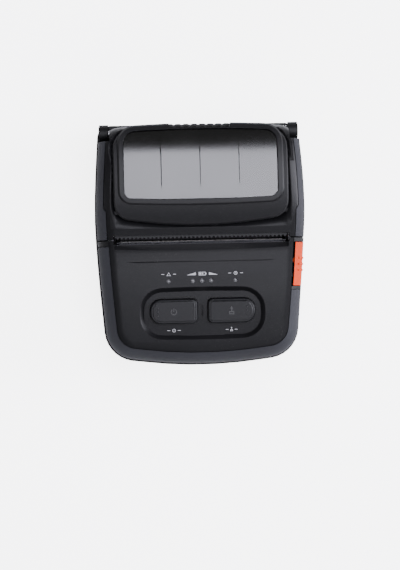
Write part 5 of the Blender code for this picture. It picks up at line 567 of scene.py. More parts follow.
class PRINTER_OT_finishes(bpy.types.Operator):
    """Make the shared shader groups and the material of every slot, and put them on the parts"""

    bl_idname = "printer.finishes"
    bl_label = "Finishes"

    def execute(self, context):
        colours = context.scene.printer_colours
        surfaces = context.scene.printer_surfaces
        SHARED.update(grain=moulded_grain(), drift=tone_drift(), dust=fine_dust())
        SHARED.update(lines=drawn_lines(), scratches=hair_scratches())
        cells = 1.0 / surfaces.grain_size
        depth = surfaces.grain_depth
        for slot, name, key, roughness, finer, share, dust, specular in GRAINED:
            colour = getattr(colours, key)
            FINISHES[slot] = grained(name, colour, roughness, cells * finer, depth * share, dust, specular)
        for slot, name, colour, roughness, per_metre, share, *rest in FIXED_GRAIN:
            FINISHES[slot] = grained(name, colour, roughness, per_metre, depth * share, *rest)
        for slot, *values in METALS:
            FINISHES[slot] = metal(*values)
        FINISHES["print"] = grained("Pad Print", colours.ink, 0.6, 2500.0, depth * 0.4, 0.0)
        FINISHES["circuit_green"] = circuit_mask("Circuit Board")
        FINISHES["smoke_window"] = smoked_window("Smoked Window")
        FINISHES["clear_lens"] = lamp_lens("Lamp Lens")
        for name, slot in SLOTS.items():
            materials = NODES[name].data.materials
            materials.clear()
            materials.append(FINISHES[SPECIAL.get(name, slot)])
        return {"FINISHED"}


# Smooth shells

PANEL_HALF = 42.5 * MM
PANEL_FRONT_Y = 8.5 * MM
PANEL_REAR_Y = 57.4 * MM
GROOVE_WIDTH = 0.9 * MM
GROOVE_DEPTH = 1.1 * MM
PANEL_RISE = 1.8 * MM
BEZEL_RISE = 0.8 * MM
CAP_RISE = 0.22 * MM
FIELD_HALF = 31.2 * MM
FIELD_FRONT_Y = -47.6 * MM
FIELD_REAR_Y = -21.0 * MM
FIELD_CORNER = 11.5 * MM
FIELD_SLOPE = 2.4 * MM
FIELD_RIM_RADIUS = 0.55 * MM
FIELD_FOOT_RADIUS = 0.7 * MM
FIELD_NEAR = 0.12 * MM
FIELD_NEAR_Z = 0.15 * MM
BEZEL_RADIUS = 0.65 * MM
BEZEL_SHARP = math.radians(40.0)
BEZEL_NEAR = 0.2 * MM
BEZEL_FOOT = 0.12 * MM
KEY_LEDGE = 0.55 * MM
KEY_STEP = 0.28 * MM
FLAP_MARGIN = 1.1 * MM
FLAP_STEP = 0.3 * MM
NOTCH_HALF = 16.3 * MM
NOTCH_Y = 56.3 * MM
NOTCH_LOW = 43.4 * MM
NOTCH_LENGTH = 10.0 * MM
NOTCH_HEIGHT = 20.0 * MM
NOTCH_FLARE = 1.6 * MM
RELEASE_ROOM_X = 40.0 * MM
RELEASE_ROOM_Y = (-24.0 * MM, 2.0 * MM)
RELEASE_TRAVEL = 1.6 * MM
RELEASE_CENTRE = (47.6 * MM, -11.1 * MM, 41.0 * MM)
RELEASE_ROOM_SCALE = (1.004, 1.012, 1.012)


def plain_copy(node):
    """A copy of a CAD node's mesh, without its keys and parent, with its doubles merged."""
    only(NODES[node])
    bpy.ops.object.duplicate()
    copy = bpy.context.view_layer.objects.active
    for key in [key for key in copy.keys() if key.startswith("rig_")]:
        del copy[key]
    copy.parent = None
    editing(copy, "VERT", everything=True)
    bpy.ops.mesh.remove_doubles(threshold=MERGE)
    leave()
    return copy


def mark_sharp_edges(shell):
    """Gives the sharp edges a bevel weight, except the inner corners that the release button slides past."""
    editing(shell, "EDGE")
    mesh = bmesh.from_edit_mesh(shell.data)
    weight = mesh.edges.layers.float.new("bevel_weight_edge")
    for edge in mesh.edges:
        if not edge.is_manifold or edge.calc_face_angle() < SHARP_ANGLE:
            continue
        middle = (edge.verts[0].co + edge.verts[1].co) / 2
        beside_release = middle.x > RELEASE_ROOM_X and RELEASE_ROOM_Y[0] < middle.y < RELEASE_ROOM_Y[1]
        edge[weight] = 0.0 if beside_release and not edge.is_convex else 1.0
    bmesh.update_edit_mesh(shell.data)
    leave()


def weigh_normals(shell):
    apply_modifier(shell, "WEIGHTED_NORMAL", mode="FACE_AREA", weight=50, keep_sharp=True)


def smooth_shell(node, edge, segments=2):
    """A smooth copy of a CAD node: doubles merged, flat faces joined, shaped, sharp edges rounded."""
    source = NODES[node]
    shell = plain_copy(node)
    editing(shell, "VERT", everything=True)
    bpy.ops.mesh.dissolve_limited(angle_limit=math.radians(0.4))
    leave()
    if shell.data.has_custom_normals:
        bpy.ops.mesh.customdata_custom_splitnormals_clear()
    if node in SHAPING:
        SHAPING[node](shell)
    mark_sharp_edges(shell)
    corners = {"limit_method": "WEIGHT", "miter_outer": "MITER_ARC"}
    apply_modifier(shell, "BEVEL", width=edge, segments=segments, **corners)
    settle(shell, node + "_shell", source["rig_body"], source.data.materials[0], SMOOTH_ANGLE)
    weigh_normals(shell)
    return shell


def field_distance(point, inset):
    """Distance, in plan, from a point to the outline of the key field drawn in by inset."""
    corner = FIELD_CORNER - inset
    middle = (FIELD_FRONT_Y + FIELD_REAR_Y) / 2
    x = abs(point.x) - (FIELD_HALF - inset - corner)
    y = abs(point.y - middle) - ((FIELD_REAR_Y - FIELD_FRONT_Y) / 2 - inset - corner)
    return abs(math.hypot(max(x, 0.0), max(y, 0.0)) + min(max(x, y), 0.0) - corner)


def soften_field(cover):
    """Rounds the rim and the foot of the slope round the key field."""
    for inset, depth, radius in ((FIELD_SLOPE, FIELD_DEPTH, FIELD_FOOT_RADIUS), (0.0, 0.0, FIELD_RIM_RADIUS)):

        def on_line(point):
            level = top_height(point.y) - depth
            return field_distance(point, inset) < FIELD_NEAR and abs(point.z - level) < FIELD_NEAR_Z

        editing(cover, "EDGE")
        pick(cover, "edges", lambda edge: all(on_line(vert.co) for vert in edge.verts))
        bpy.ops.mesh.bevel(offset=radius, segments=4, affect="EDGES", clamp_overlap=True)
        leave()


def soften_bezel(panel):
    """Rounds the raised bezel of the window to a bead."""
    top = PANEL_RISE + BEZEL_RISE

    def on_bead(edge):
        if not edge.is_manifold or edge.calc_face_angle() <= BEZEL_SHARP:
            return False
        return all(abs(vert.co.z - top_height(vert.co.y) - top) < BEZEL_NEAR for vert in edge.verts)

    editing(panel, "EDGE")
    pick(panel, "edges", on_bead)
    bpy.ops.mesh.bevel(offset=BEZEL_RADIUS, segments=4, affect="EDGES", clamp_overlap=True)
    leave()


def release_room(cover):
    """Cuts from the cover the room that the pressed release button needs."""
    for share in (0.5, 1.0):
        cutter = plain_copy("release_button")
        editing(cutter, "VERT", everything=True)
        bpy.ops.mesh.normals_make_consistent(inside=False)
        bpy.ops.transform.resize(value=RELEASE_ROOM_SCALE, center_override=RELEASE_CENTRE)
        step = -share * RELEASE_TRAVEL * math.sqrt(0.5)
        bpy.ops.transform.translate(value=(step, 0.0, step))
        leave()
        trimmed(cover, cutter)


def shape_cover(cover):
    soften_field(cover)
    release_room(cover)


def raise_cap(key):
    """Raises the middle of a key above the ledge round it."""
    editing(key, "FACE")
    highest = max(vert.co.z for vert in key.data.vertices)
    pick(key, "faces", lambda face: face.normal.z > 0.93 and face.calc_center_median().z > highest - 3.0 * MM)
    bpy.ops.mesh.inset(thickness=KEY_LEDGE, depth=0.0)
    bpy.ops.mesh.inset(thickness=KEY_STEP, depth=CAP_RISE)
    leave()


def press_panel(flap):
    """Presses a shallow panel into the outer face of the port flap."""
    editing(flap, "FACE")
    low = min(vert.co.x for vert in flap.data.vertices)
    pick(flap, "faces", lambda face: face.normal.x < -0.9 and face.calc_center_median().x < low + 0.6 * MM)
    bpy.ops.mesh.inset(thickness=FLAP_MARGIN, depth=0.0)
    bpy.ops.mesh.inset(thickness=FLAP_STEP, depth=-FLAP_STEP)
    leave()


def rear_notch(shell):
    """Opens the rear edge of the lid over the ribbed knuckle."""
    size = (2 * NOTCH_HALF, NOTCH_LENGTH, NOTCH_HEIGHT)
    block = block_of(size, (0.0, NOTCH_Y + NOTCH_LENGTH / 2, NOTCH_LOW + NOTCH_HEIGHT / 2))
    editing(block, "FACE")
    pick(block, "faces", lambda face: face.normal.y < -0.9)
    narrower = 1.0 - NOTCH_FLARE / NOTCH_HALF
    bpy.ops.transform.resize(value=(narrower, 1.0, 1.0), center_override=(0.0, NOTCH_Y, NOTCH_LOW))
    leave()
    trimmed(shell, block)


def groove_cutter():
    """The raised panel's own form, a little larger and lower: it sinks a groove round the panel."""
    cutter = plain_copy("lid_panel")
    centre = Vector((0.0, (PANEL_FRONT_Y + PANEL_REAR_Y) / 2, 0.0))
    wider = 1.0 + GROOVE_WIDTH / PANEL_HALF
    longer = 1.0 + 2 * GROOVE_WIDTH / (PANEL_REAR_Y - PANEL_FRONT_Y)
    editing(cutter, "VERT", everything=True)
    bpy.ops.transform.resize(value=(wider, longer, 1.0), center_override=centre)
    bpy.ops.transform.translate(value=(0.0, 0.0, -GROOVE_DEPTH))
    leave()
    return cutter


SHAPING = {
    "lid_panel": soften_bezel,
    "front_cover": shape_cover,
    "power_button": raise_cap,
    "feed_button": raise_cap,
    "port_cover": press_panel,
}
OUTER_SHELLS = (
    "lower_case",
    "front_cover",
    "front_bumper",
    "lid_strip_left",
    "lid_strip_right",
    "release_button",
    "power_button",
    "feed_button",
)


class PRINTER_OT_shells(bpy.types.Operator):
    """Round the edges of the outer shells"""

    bl_idname = "printer.shells"
    bl_label = "Smooth shells"

    def execute(self, context):
        edge = context.scene.printer_surfaces.edge_radius
        frame_shell = smooth_shell("lid_frame", edge)
        trimmed(frame_shell, groove_cutter())
        rear_notch(frame_shell)
        bpy.ops.object.shade_smooth_by_angle(angle=SMOOTH_ANGLE)
        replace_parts(frame_shell, "lid_frame")
        panel = smooth_shell("lid_panel", edge)
        rear_notch(panel)
        bpy.ops.object.shade_smooth_by_angle(angle=SMOOTH_ANGLE)
        weigh_normals(panel)
        panel.data.materials.append(FINISHES["bezel"])
        for polygon in panel.data.polygons:
            centre = polygon.center
            if centre.z - top_height(centre.y) > PANEL_RISE + BEZEL_FOOT:
                polygon.material_index = 1
        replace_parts(panel, "lid_panel")
        for node in OUTER_SHELLS:
            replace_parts(smooth_shell(node, edge), node)
        return {"FINISHED"}


# Radius against the setting and number of segments of each inner part's edges
ROUNDED = {
    "battery_pack": (1.4, 2),
    "battery_catch": (0.8, 2),
    "port_cover": (0.9, 2),
    "platen_holder": (0.7, 2),
    "media_tray": (0.7, 2),
    "media_guide_left": (0.8, 2),
    "media_guide_right": (0.8, 2),
    "chassis": (0.5, 1),
    "print_head": (0.5, 1),
    "head_plate": (0.5, 1),
    "latch_hook_left": (0.7, 2),
    "latch_hook_right": (0.7, 2),
    "platen_bush_left": (0.6, 1),
    "platen_bush_right": (0.6, 1),
    "platen_gear": (0.3, 1),
    "lower_gear": (0.3, 1),
    "upper_gear": (0.3, 1),
    "platen_roller": (1.2, 2),
}


class PRINTER_OT_inner_parts(bpy.types.Operator):
    """Round the edges of the parts under the lid and of the battery"""

    bl_idname = "printer.inner_parts"
    bl_label = "Inner parts"

    def execute(self, context):
        edge = context.scene.printer_surfaces.edge_radius
        for node, (share, segments) in ROUNDED.items():
            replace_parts(smooth_shell(node, edge * share, segments), node)
        return {"FINISHED"}


# Window

WINDOW_RISE = 1.7 * MM
WINDOW_THICKNESS = 1.4 * MM
WINDOW_HALF = 37.3 * MM
WINDOW_FRONT_Y = 21.3 * MM
WINDOW_REAR_Y = 55.5 * MM
WINDOW_FRONT_CORNER = 3.7 * MM
WINDOW_REAR_CORNER = 6.0 * MM
WINDOW_EDGE = 0.25 * MM
RIB_FRONT_Y = 24.6 * MM
RIB_REAR_Y = 54.6 * MM
RIB_STEEP_WIDTH = 0.6 * MM
RIB_EASY_WIDTH = 2.6 * MM
RIB_HEIGHT = 0.085 * MM
RIB_FRONT_SHARE = 0.6
RIB_FRONT_FADE = 0.16
RIB_REAR_FADE = 0.12
RIBS_X = (-19.0 * MM, 0.0, 19.0 * MM)
SHEET_COLUMNS = 120
SHEET_ROWS = 72
MARGIN = 4.0 * MM


def rib_share(point):
    """Height of the window's tapered ribs at a point, from 0 to 1: steep on the left, easy on the right."""
    along = (point.y - RIB_FRONT_Y) / (RIB_REAR_Y - RIB_FRONT_Y)
    if not 0.0 < along < 1.0:
        return 0.0
    taper = RIB_FRONT_SHARE + (1.0 - RIB_FRONT_SHARE) * along
    across = min((point.x - x for x in RIBS_X), key=abs) / taper
    across /= RIB_EASY_WIDTH if across > 0.0 else RIB_STEEP_WIDTH
    if abs(across) >= 1.0:
        return 0.0
    fading = min(1.0, along / RIB_FRONT_FADE, (1.0 - along) / RIB_REAR_FADE)
    return taper * fading * 0.5 * (1.0 + math.cos(math.pi * across))


def near_rib(edge):
    first, second = edge.verts
    middle = (first.co.x + second.co.x) / 2
    return min(abs(middle - x) for x in RIBS_X) < RIB_EASY_WIDTH + MM / 2


def crowned_sheet():
    """A finely divided sheet bent over the roll: one edge divided, then spun about the arc's centre."""
    top = CROWN_HEIGHT + WINDOW_RISE
    radius = CROWN_RADIUS + WINDOW_RISE
    centre = Vector((0.0, CROWN_Y, top - radius))
    half = WINDOW_HALF + MARGIN
    bpy.ops.mesh.primitive_plane_add(size=2 * half, location=(0.0, CROWN_Y + half, top))
    sheet = only(bpy.context.object)
    bpy.ops.object.transform_apply(location=True)
    editing(sheet, "VERT")
    pick(sheet, "verts", lambda vert: vert.co.y > CROWN_Y + MM)
    bpy.ops.mesh.delete(type="VERT")
    bpy.ops.mesh.select_all(action="SELECT")
    bpy.ops.mesh.subdivide(number_cuts=SHEET_COLUMNS - 1)
    pick(sheet, "edges", near_rib)
    bpy.ops.mesh.subdivide(number_cuts=4)
    bpy.ops.mesh.select_all(action="SELECT")
    front = (WINDOW_FRONT_Y - MARGIN - CROWN_Y) / radius
    rear = (WINDOW_REAR_Y + MARGIN - CROWN_Y) / radius
    bpy.ops.transform.rotate(value=front, orient_axis="X", orient_type="GLOBAL", center_override=centre)
    bpy.ops.mesh.spin(steps=SHEET_ROWS, angle=rear - front, center=centre, axis=(1.0, 0.0, 0.0))
    bpy.ops.mesh.select_all(action="SELECT")
    bpy.ops.mesh.remove_doubles(threshold=FINE_MERGE)
    bpy.ops.mesh.normals_make_consistent(inside=False)
    leave()
    if sum(polygon.normal.z for polygon in sheet.data.polygons) < 0:
        editing(sheet, everything=True)
        bpy.ops.mesh.flip_normals()
        leave()
    return sheet


def window_outline():
    """An upright block on the window's rounded outline: a plane with its corners bevelled, then extruded."""
    middle = (0.0, (WINDOW_FRONT_Y + WINDOW_REAR_Y) / 2, CROWN_HEIGHT / 2)
    block = flat_plane(2 * WINDOW_HALF, WINDOW_REAR_Y - WINDOW_FRONT_Y, middle)
    side = WINDOW_HALF - NEAR
    for y, corner in ((WINDOW_FRONT_Y, WINDOW_FRONT_CORNER), (WINDOW_REAR_Y, WINDOW_REAR_CORNER)):
        editing(block, "VERT")
        pick(block, "verts", lambda vert: abs(vert.co.y - y) < NEAR and abs(vert.co.x) > side)
        bpy.ops.mesh.bevel(offset=corner, segments=12, affect="VERTICES")
        leave()
    return raised(block, CROWN_HEIGHT)


def trimmed(obj, cutter, operation="DIFFERENCE"):
    apply_modifier(obj, "BOOLEAN", object=cutter, operation=operation, solver="EXACT")
    bpy.data.objects.remove(cutter)


class PRINTER_OT_window(bpy.types.Operator):
    """Bend the smoked window over the roll, with its three tapered ribs"""

    bl_idname = "printer.window"
    bl_label = "Window"

    def execute(self, context):
        sheet = crowned_sheet()
        ribs = sheet.vertex_groups.new(name="ribs")
        for vert in sheet.data.vertices:
            share = rib_share(vert.co)
            if share > 0.0:
                ribs.add([vert.index], share, "REPLACE")
        apply_modifier(sheet, "DISPLACE", strength=RIB_HEIGHT, mid_level=0.0, vertex_group="ribs")
        apply_modifier(sheet, "SOLIDIFY", thickness=WINDOW_THICKNESS, offset=-1.0)
        trimmed(sheet, window_outline(), "INTERSECT")
        sheet.vertex_groups.clear()
        rim = {"limit_method": "ANGLE", "angle_limit": math.radians(50.0)}
        apply_modifier(sheet, "BEVEL", width=WINDOW_EDGE, segments=2, **rim)
        settle(sheet, "window_glazing", "lid", FINISHES["smoke_window"], math.radians(40.0))
        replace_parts(sheet, "lid_window")
        return {"FINISHED"}


# Small flat shapes laid on the top surface


def flat_bar(length, width, height, corner_share=0.45):
    """A low bar along X with rounded ends."""
    bar = flat_plane(length, width)
    editing(bar, "VERT", everything=True)
    bpy.ops.mesh.bevel(offset=min(length, width) * corner_share, segments=3, affect="VERTICES")
    leave()
    return raised(bar, height)


def flat_disc(radius, height, inner=0.0, sides=28):
    """A low disc or polygon, or a ring where inner is given."""
    bpy.ops.mesh.primitive_circle_add(vertices=sides, radius=radius, fill_type="NGON")
    disc = only(bpy.context.object)
    if inner:
        editing(disc, "FACE", everything=True)
        bpy.ops.mesh.inset(thickness=(radius - inner) * math.cos(math.pi / sides))
        bpy.ops.mesh.delete(type="FACE")
        leave()
    return raised(disc, height)


def flat_frame(length, width, line, height):
    """A low rectangular outline."""
    outline = flat_plane(length, width)
    editing(outline, "FACE", everything=True)
    bpy.ops.mesh.inset(thickness=line)
    bpy.ops.mesh.delete(type="FACE")
    leave()
    return raised(outline, height)


def flat_wedge(length, width, tip, height, side):
    """A low wedge along X, wide at the end that side names."""
    wedge = flat_bar(length, width, height, 0.02)
    editing(wedge, "VERT")
    pick(wedge, "verts", lambda vert: vert.co.x * side < 0.0 and vert.co.y > 0.0)
    bpy.ops.transform.translate(value=(0.0, tip - width, 0.0))
    leave()
    return wedge


def shifted(obj, x, y, turn=0.0):
    obj.rotation_euler.z = turn
    obj.location = (x, y, 0.0)
    only(obj)
    bpy.ops.object.transform_apply(location=True, rotation=True)
    return obj


def laid(obj, x, y, lift):
    """Lays a flat group of shapes on the top surface at x and y, lift above it."""
    place = Matrix.Translation((x, y, top_height(y))) @ Matrix.Rotation(top_slope(y), 4, "X")
    obj.matrix_world = place @ Matrix.Translation((0.0, 0.0, lift))
    return obj


def power_sign(radius, line, height):
    """Open ring with a bar through its gap."""
    ring = flat_disc(radius, height, radius - line, 32)
    gap = flat_bar(line * 3.4, radius, height * 3, 0.02)
    gap.location = (0.0, radius, -height)
    only(gap)
    bpy.ops.object.transform_apply(location=True)
    trimmed(ring, gap)
    return joined([ring, shifted(flat_bar(radius * 1.15, line, height), 0.0, radius * 0.62, math.pi / 2)])


def feed_sign(size, line, height):
    """A sheet with an arrow out of its upper edge."""
    sheet = shifted(flat_frame(size, size * 0.62, line, height), 0.0, -size * 0.36)
    shaft = shifted(flat_bar(size * 0.62, line, height), 0.0, size * 0.26, math.pi / 2)
    head = shifted(flat_disc(size * 0.34, height, 0.0, 3), 0.0, size * 0.62)
    return joined([sheet, shaft, head])


class PRINTER_OT_tear_bar(bpy.types.Operator):
    """Grind the serrated edge of the tear bar"""

    bl_idname = "printer.tear_bar"
    bl_label = "Tear bar"

    def execute(self, context):
        size = (TOOTH_PITCH, TEAR_REAR_Y - TEAR_FRONT_Y, TEAR_TOP - TEAR_BOTTOM)
        middle = (TOOTH_PITCH / 2 - TEAR_HALF, (TEAR_FRONT_Y + TEAR_REAR_Y) / 2, (TEAR_TOP + TEAR_BOTTOM) / 2)
        tooth = block_of(size, middle)
        editing(tooth, "FACE")
        pick(tooth, "faces", lambda face: face.normal.z > 0.9)
        bpy.ops.mesh.inset(thickness=0.0)
        bpy.ops.transform.translate(value=(0.0, 0.0, -TOOTH_DEPTH))
        bpy.ops.mesh.select_all(action="DESELECT")
        pick(tooth, "faces", lambda face: face.normal.z > 0.9)
        bpy.ops.mesh.extrude_region_move(TRANSFORM_OT_translate={"value": (0.0, 0.0, TOOTH_DEPTH)})
        bpy.ops.transform.resize(value=(*TOOTH_TIP, 1.0))
        bpy.ops.mesh.select_all(action="SELECT")
        bpy.ops.mesh.remove_doubles(threshold=FINE_MERGE)
        pick(tooth, "faces", lambda face: abs(face.normal.x) > 0.99)
        bpy.ops.mesh.delete(type="FACE")
        leave()
        count = round(2 * TEAR_HALF / TOOTH_PITCH)
        apply_modifier(
            tooth,
            "ARRAY",
            count=count,
            use_relative_offset=False,
            use_constant_offset=True,
            constant_offset_displace=(TOOTH_PITCH, 0.0, 0.0),
            use_merge_vertices=True,
            merge_threshold=MERGE,
        )
        editing(tooth, "EDGE")
        bpy.ops.mesh.select_all(action="SELECT")
        bpy.ops.mesh.fill_holes(sides=0)
        bpy.ops.mesh.normals_make_consistent(inside=False)
        leave()
        settle(tooth, "tear_bar_edge", "base", FINISHES["ground_steel"])
        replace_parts(tooth, "tear_bar")
        return {"FINISHED"}


MARK_LINE = 0.26 * MM
MARK_SHOWN = 0.03 * MM
MARK_SUNK_SHARE = 0.4
DASH_LENGTH = 1.5 * MM
TRIANGLE_RADII = (1.15 * MM, 0.78 * MM)
TRIANGLE_DROP = 0.2 * MM
TARGET_RADII = (0.9 * MM, 0.62 * MM)
TARGET_DOT = 0.28 * MM
POWER_RADIUS = 0.85 * MM
FEED_SIZE = 1.35 * MM
CELL_SIZE = (3.4 * MM, 1.7 * MM)
# Bars in the battery mark: length, width, place along it
CELL_BARS = (
    (1.4 * MARK_LINE, 0.8 * MM, 1.9 * MM),
    (1.0 * MM, 0.85 * MM, -0.85 * MM),
    (0.6 * MM, 0.85 * MM, 0.25 * MM),
)
WEDGE_SIZE = (4.2 * MM, 1.3 * MM, 0.15 * MM)
WEDGES = ((1, -5.2 * MM), (-1, 5.4 * MM))


class PRINTER_OT_marks(bpy.types.Operator):
    """Print the generic marks beside the lamps and the keys"""

    bl_idname = "printer.marks"
    bl_label = "Printed marks"

    def execute(self, context):
        ink = context.scene.printer_surfaces.ink_height
        line = MARK_LINE

        def dashed(mark, reach):
            ends = [shifted(flat_bar(DASH_LENGTH, line, ink), side * reach, 0.0) for side in (-1, 1)]
            return joined([mark, *ends])

        outer, inner = TRIANGLE_RADII
        triangle = shifted(flat_disc(outer, ink, inner, 3), 0.0, -TRIANGLE_DROP)
        outer, inner = TARGET_RADII
        target = joined([flat_disc(outer, ink, inner), flat_disc(TARGET_DOT, ink, sides=14)])
        bars = [shifted(flat_bar(length, width, ink, 0.05), x, 0.0) for length, width, x in CELL_BARS]
        wedges = [shifted(flat_wedge(*WEDGE_SIZE, ink, side), x, 0.0) for side, x in WEDGES]
        cell = joined([flat_frame(*CELL_SIZE, line, ink), *bars, *wedges])
        power = power_sign(POWER_RADIUS, line, ink)
        feed = feed_sign(FEED_SIZE, line * 0.9, ink)
        for name, mark, x, y, lift in (
            ("mark_fault", dashed(triangle, 2.9 * MM), -LAMP_OUTER_X, MARK_ROW_Y, 0.0),
            ("mark_battery", cell, 0.0, MARK_ROW_Y, 0.0),
            ("mark_state", dashed(target, 2.9 * MM), LAMP_OUTER_X, MARK_ROW_Y, 0.0),
            ("mark_power", dashed(power, 2.6 * MM), -KEY_X, LABEL_Y, -FIELD_DEPTH),
            ("mark_feed", dashed(feed, 2.2 * MM), KEY_X, LABEL_Y, -FIELD_DEPTH),
        ):
            laid(mark, x, y, lift - (ink - MARK_SHOWN) * MARK_SUNK_SHARE)
            settle(mark, name, "base", FINISHES["print"])
        return {"FINISHED"}


SIGN_HEIGHT = 0.45 * MM
SIGN_LINE = 0.42 * MM
SIGN_SUNK = 0.2 * MM
DOT_RADIUS = 0.36 * MM
DOT_SUNK = 0.1 * MM
DOT_PITCH = 1.8 * MM
DOTS_SHIFT_Y = 0.25 * MM
KEY_RIB_SIZE = (5.0 * MM, 0.6 * MM, 0.7 * MM)
KEY_RIB_EDGE = 0.15 * MM
KEY_RIB_SUNK = 0.1 * MM


def grip_dot(x, y):
    """The cap of a ball on top of a key."""
    bpy.ops.mesh.primitive_uv_sphere_add(segments=16, ring_count=10, radius=DOT_RADIUS)
    dot = only(bpy.context.object)
    editing(dot, "VERT", everything=True)
    low = (0.0, 0.0, -DOT_SUNK)
    bpy.ops.mesh.bisect(plane_co=low, plane_no=(0.0, 0.0, 1.0), clear_inner=True, use_fill=True)
    leave()
    only(laid(dot, x, y, KEY_RISE + CAP_RISE))
    bpy.ops.object.transform_apply(location=True, rotation=True)
    return dot


class PRINTER_OT_key_relief(bpy.types.Operator):
    """Mould the raised signs and grip dots on the keys, and the rib between them"""

    bl_idname = "printer.key_relief"
    bl_label = "Key relief"

    def execute(self, context):
        for body, sign, side in (
            ("power", power_sign(1.55 * MM, SIGN_LINE, SIGN_HEIGHT), -1),
            ("feed", feed_sign(2.5 * MM, SIGN_LINE, SIGN_HEIGHT), 1),
        ):
            laid(sign, side * KEY_X, KEY_Y, KEY_RISE + CAP_RISE - SIGN_SUNK)
            settle(sign, f"{body}_sign", body, FINISHES["key_relief"])
            dots = [grip_dot(side * DOTS_X, KEY_Y + DOTS_SHIFT_Y + k * DOT_PITCH) for k in (-1, 0, 1)]
            soft = math.radians(60.0)
            settle(joined(dots), f"{body}_dots", body, FINISHES["key_relief"], soft)
        rib = flat_bar(*KEY_RIB_SIZE)
        apply_modifier(rib, "BEVEL", width=KEY_RIB_EDGE, segments=2, limit_method="ANGLE")
        shifted(rib, 0.0, 0.0, math.pi / 2)
        laid(rib, 0.0, KEY_Y, -FIELD_DEPTH - KEY_RIB_SUNK)
        settle(rib, "key_rib", "base", FINISHES["charcoal_plastic"])
        return {"FINISHED"}


# Studio

WHITE = (1.0, 1.0, 1.0, 1.0)
FLOOR_SIZE = 6.0
FLOOR_GAP = 0.2 * MM
UNSEEN_GLOW_SHARE = 0.1
WORLD_STRENGTH = 0.28
LAMP_COLOUR = (0.90, 0.90, 1.0)
KEY_LIGHT_X = 0.12
KEY_LIGHT_Z = 0.95
KEY_LIGHT_WIDTH = 0.44
KEY_LIGHT_LENGTH = 0.70
# Bands of the soft box overhead: name, middle and length along Y, brightness
KEY_BANDS = (
    ("key_light", 0.0875, 0.815, 1.0),
    ("key_border", 0.515, 0.040, 0.62),
    ("key_fringe", 0.555, 0.040, 0.28),
)
# Other soft lights: name, place, point they face, size, power
LAMPS = (
    ("side_light", (1.1, 0.1, 0.50), (0.0, 0.0, 0.03), (0.5, 0.9), 24.0),
    ("rim_light", (1.05, -0.1, 0.38), (0.0, 0.0, 0.04), (0.4, 0.4), 13.0),
    ("front_light", (0.25, -0.66, 0.74), (0.0, 0.01, 0.05), (0.6, 0.25), 2.4),
    ("fill_light", (-1.2, -0.2, 0.6), (0.0, 0.0, 0.03), (0.6, 0.9), 2.5),
)


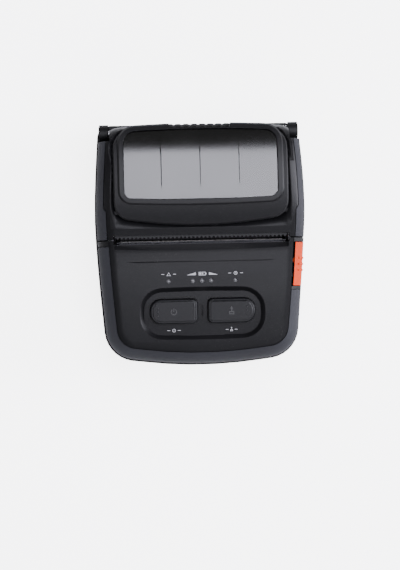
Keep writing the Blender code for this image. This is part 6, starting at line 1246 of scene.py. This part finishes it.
class PRINTER_OT_studio(bpy.types.Operator):
    """Set up the pale floor, the soft lights and the camera"""

    bl_idname = "printer.studio"
    bl_label = "Studio"

    def execute(self, context):
        studio = context.scene.printer_studio
        bpy.ops.mesh.primitive_plane_add(size=FLOOR_SIZE, location=(0.0, 0.0, -FLOOR_GAP))
        floor = context.object
        floor.name = "studio_floor"
        made = Finish("Studio Floor", studio.floor, 0.8)
        drift = made.node("ShaderNodeTexNoise")
        drift.inputs["Scale"].default_value = 3.0
        made.roughened(drift.outputs["Fac"], 0.75, 0.85)
        made.shader.inputs["Emission Color"].default_value = WHITE
        seen = made.node("ShaderNodeLightPath").outputs["Is Camera Ray"]
        glow = made.spread(seen, studio.floor_glow * UNSEEN_GLOW_SHARE, studio.floor_glow)
        made.link(glow, made.shader.inputs["Emission Strength"])
        floor.data.materials.append(made.material)

        world = bpy.data.worlds.new("Studio World")
        context.scene.world = world
        world.use_nodes = True
        sky = world.node_tree.nodes["Background"]
        sky.inputs["Color"].default_value = WHITE
        sky.inputs["Strength"].default_value = WORLD_STRENGTH

        for name, middle, length, share in KEY_BANDS:
            place = (KEY_LIGHT_X, middle, KEY_LIGHT_Z)
            power = studio.key_power * share * length / KEY_LIGHT_LENGTH
            self.soft_light(name, place, (KEY_LIGHT_X, middle, 0.0), (KEY_LIGHT_WIDTH, length), power)
        for lamp in LAMPS:
            self.soft_light(*lamp)
        bpy.data.objects["rim_light"].visible_diffuse = False
        self.camera(context, studio)
        return {"FINISHED"}

    def soft_light(self, name, place, aim, size, power):
        bpy.ops.object.light_add(type="AREA", location=place)
        lamp = bpy.context.object
        lamp.name = name
        lamp.data.shape = "RECTANGLE"
        lamp.data.size, lamp.data.size_y = size
        lamp.data.energy = power
        lamp.data.color = LAMP_COLOUR
        lamp.visible_camera = False
        line = Vector(aim) - Vector(place)
        if line.xy.length:
            lamp.rotation_euler = line.to_track_quat("-Z", "Y").to_euler()

    def camera(self, context, studio):
        bpy.ops.object.camera_add()
        camera = context.object
        camera.name = "studio_camera"
        turn = (
            Matrix.Rotation(studio.tilt, 4, "X")
            @ Matrix.Rotation(studio.swing, 4, "Y")
            @ Matrix.Rotation(studio.roll, 4, "Z")
        )
        aim = Vector(studio.aim)
        place = Matrix.Translation(aim) @ turn @ Matrix.Translation((0.0, 0.0, studio.distance))
        camera.matrix_world = place
        camera.data.lens = studio.lens
        camera.data.sensor_width = 36.0
        camera.data.clip_start = 0.05
        camera.data.clip_end = 20.0
        context.scene.camera = camera


class PRINTER_PT_panel(bpy.types.Panel):
    """Sizes, colours and steps of the printer's finish"""

    bl_idname = "PRINTER_PT_panel"
    bl_label = "Label Printer"
    bl_space_type = "VIEW_3D"
    bl_region_type = "UI"
    bl_category = "Printer"

    def draw(self, context):
        for name, kind, label in SETTINGS:
            box = self.layout.box()
            box.label(text=label)
            for key in kind.__annotations__:
                box.prop(getattr(context.scene, name), key)
        steps = self.layout.column(align=True)
        for step in STEPS:
            steps.operator(step.bl_idname)


STEPS = (
    PRINTER_OT_finishes,
    PRINTER_OT_shells,
    PRINTER_OT_inner_parts,
    PRINTER_OT_window,
    PRINTER_OT_tear_bar,
    PRINTER_OT_marks,
    PRINTER_OT_key_relief,
    PRINTER_OT_studio,
)
SETTINGS = (
    ("printer_colours", PrinterColours, "Colours"),
    ("printer_surfaces", PrinterSurfaces, "Surfaces"),
    ("printer_studio", PrinterStudio, "Studio"),
)


def register():
    for name, kind, _ in SETTINGS:
        bpy.utils.register_class(kind)
        setattr(bpy.types.Scene, name, PointerProperty(type=kind))
    for made in (*STEPS, PRINTER_PT_panel):
        bpy.utils.register_class(made)


def unregister():
    for made in reversed((*STEPS, PRINTER_PT_panel)):
        bpy.utils.unregister_class(made)
    for name, kind, _ in reversed(SETTINGS):
        delattr(bpy.types.Scene, name)
        bpy.utils.unregister_class(kind)


def main():
    register()
    bpy.ops.printer.finishes()
    bpy.ops.printer.shells()
    bpy.ops.printer.inner_parts()
    bpy.ops.printer.window()
    bpy.ops.printer.tear_bar()
    bpy.ops.printer.marks()
    bpy.ops.printer.key_relief()
    bpy.ops.printer.studio()


if __name__ == "__main__":
    main()
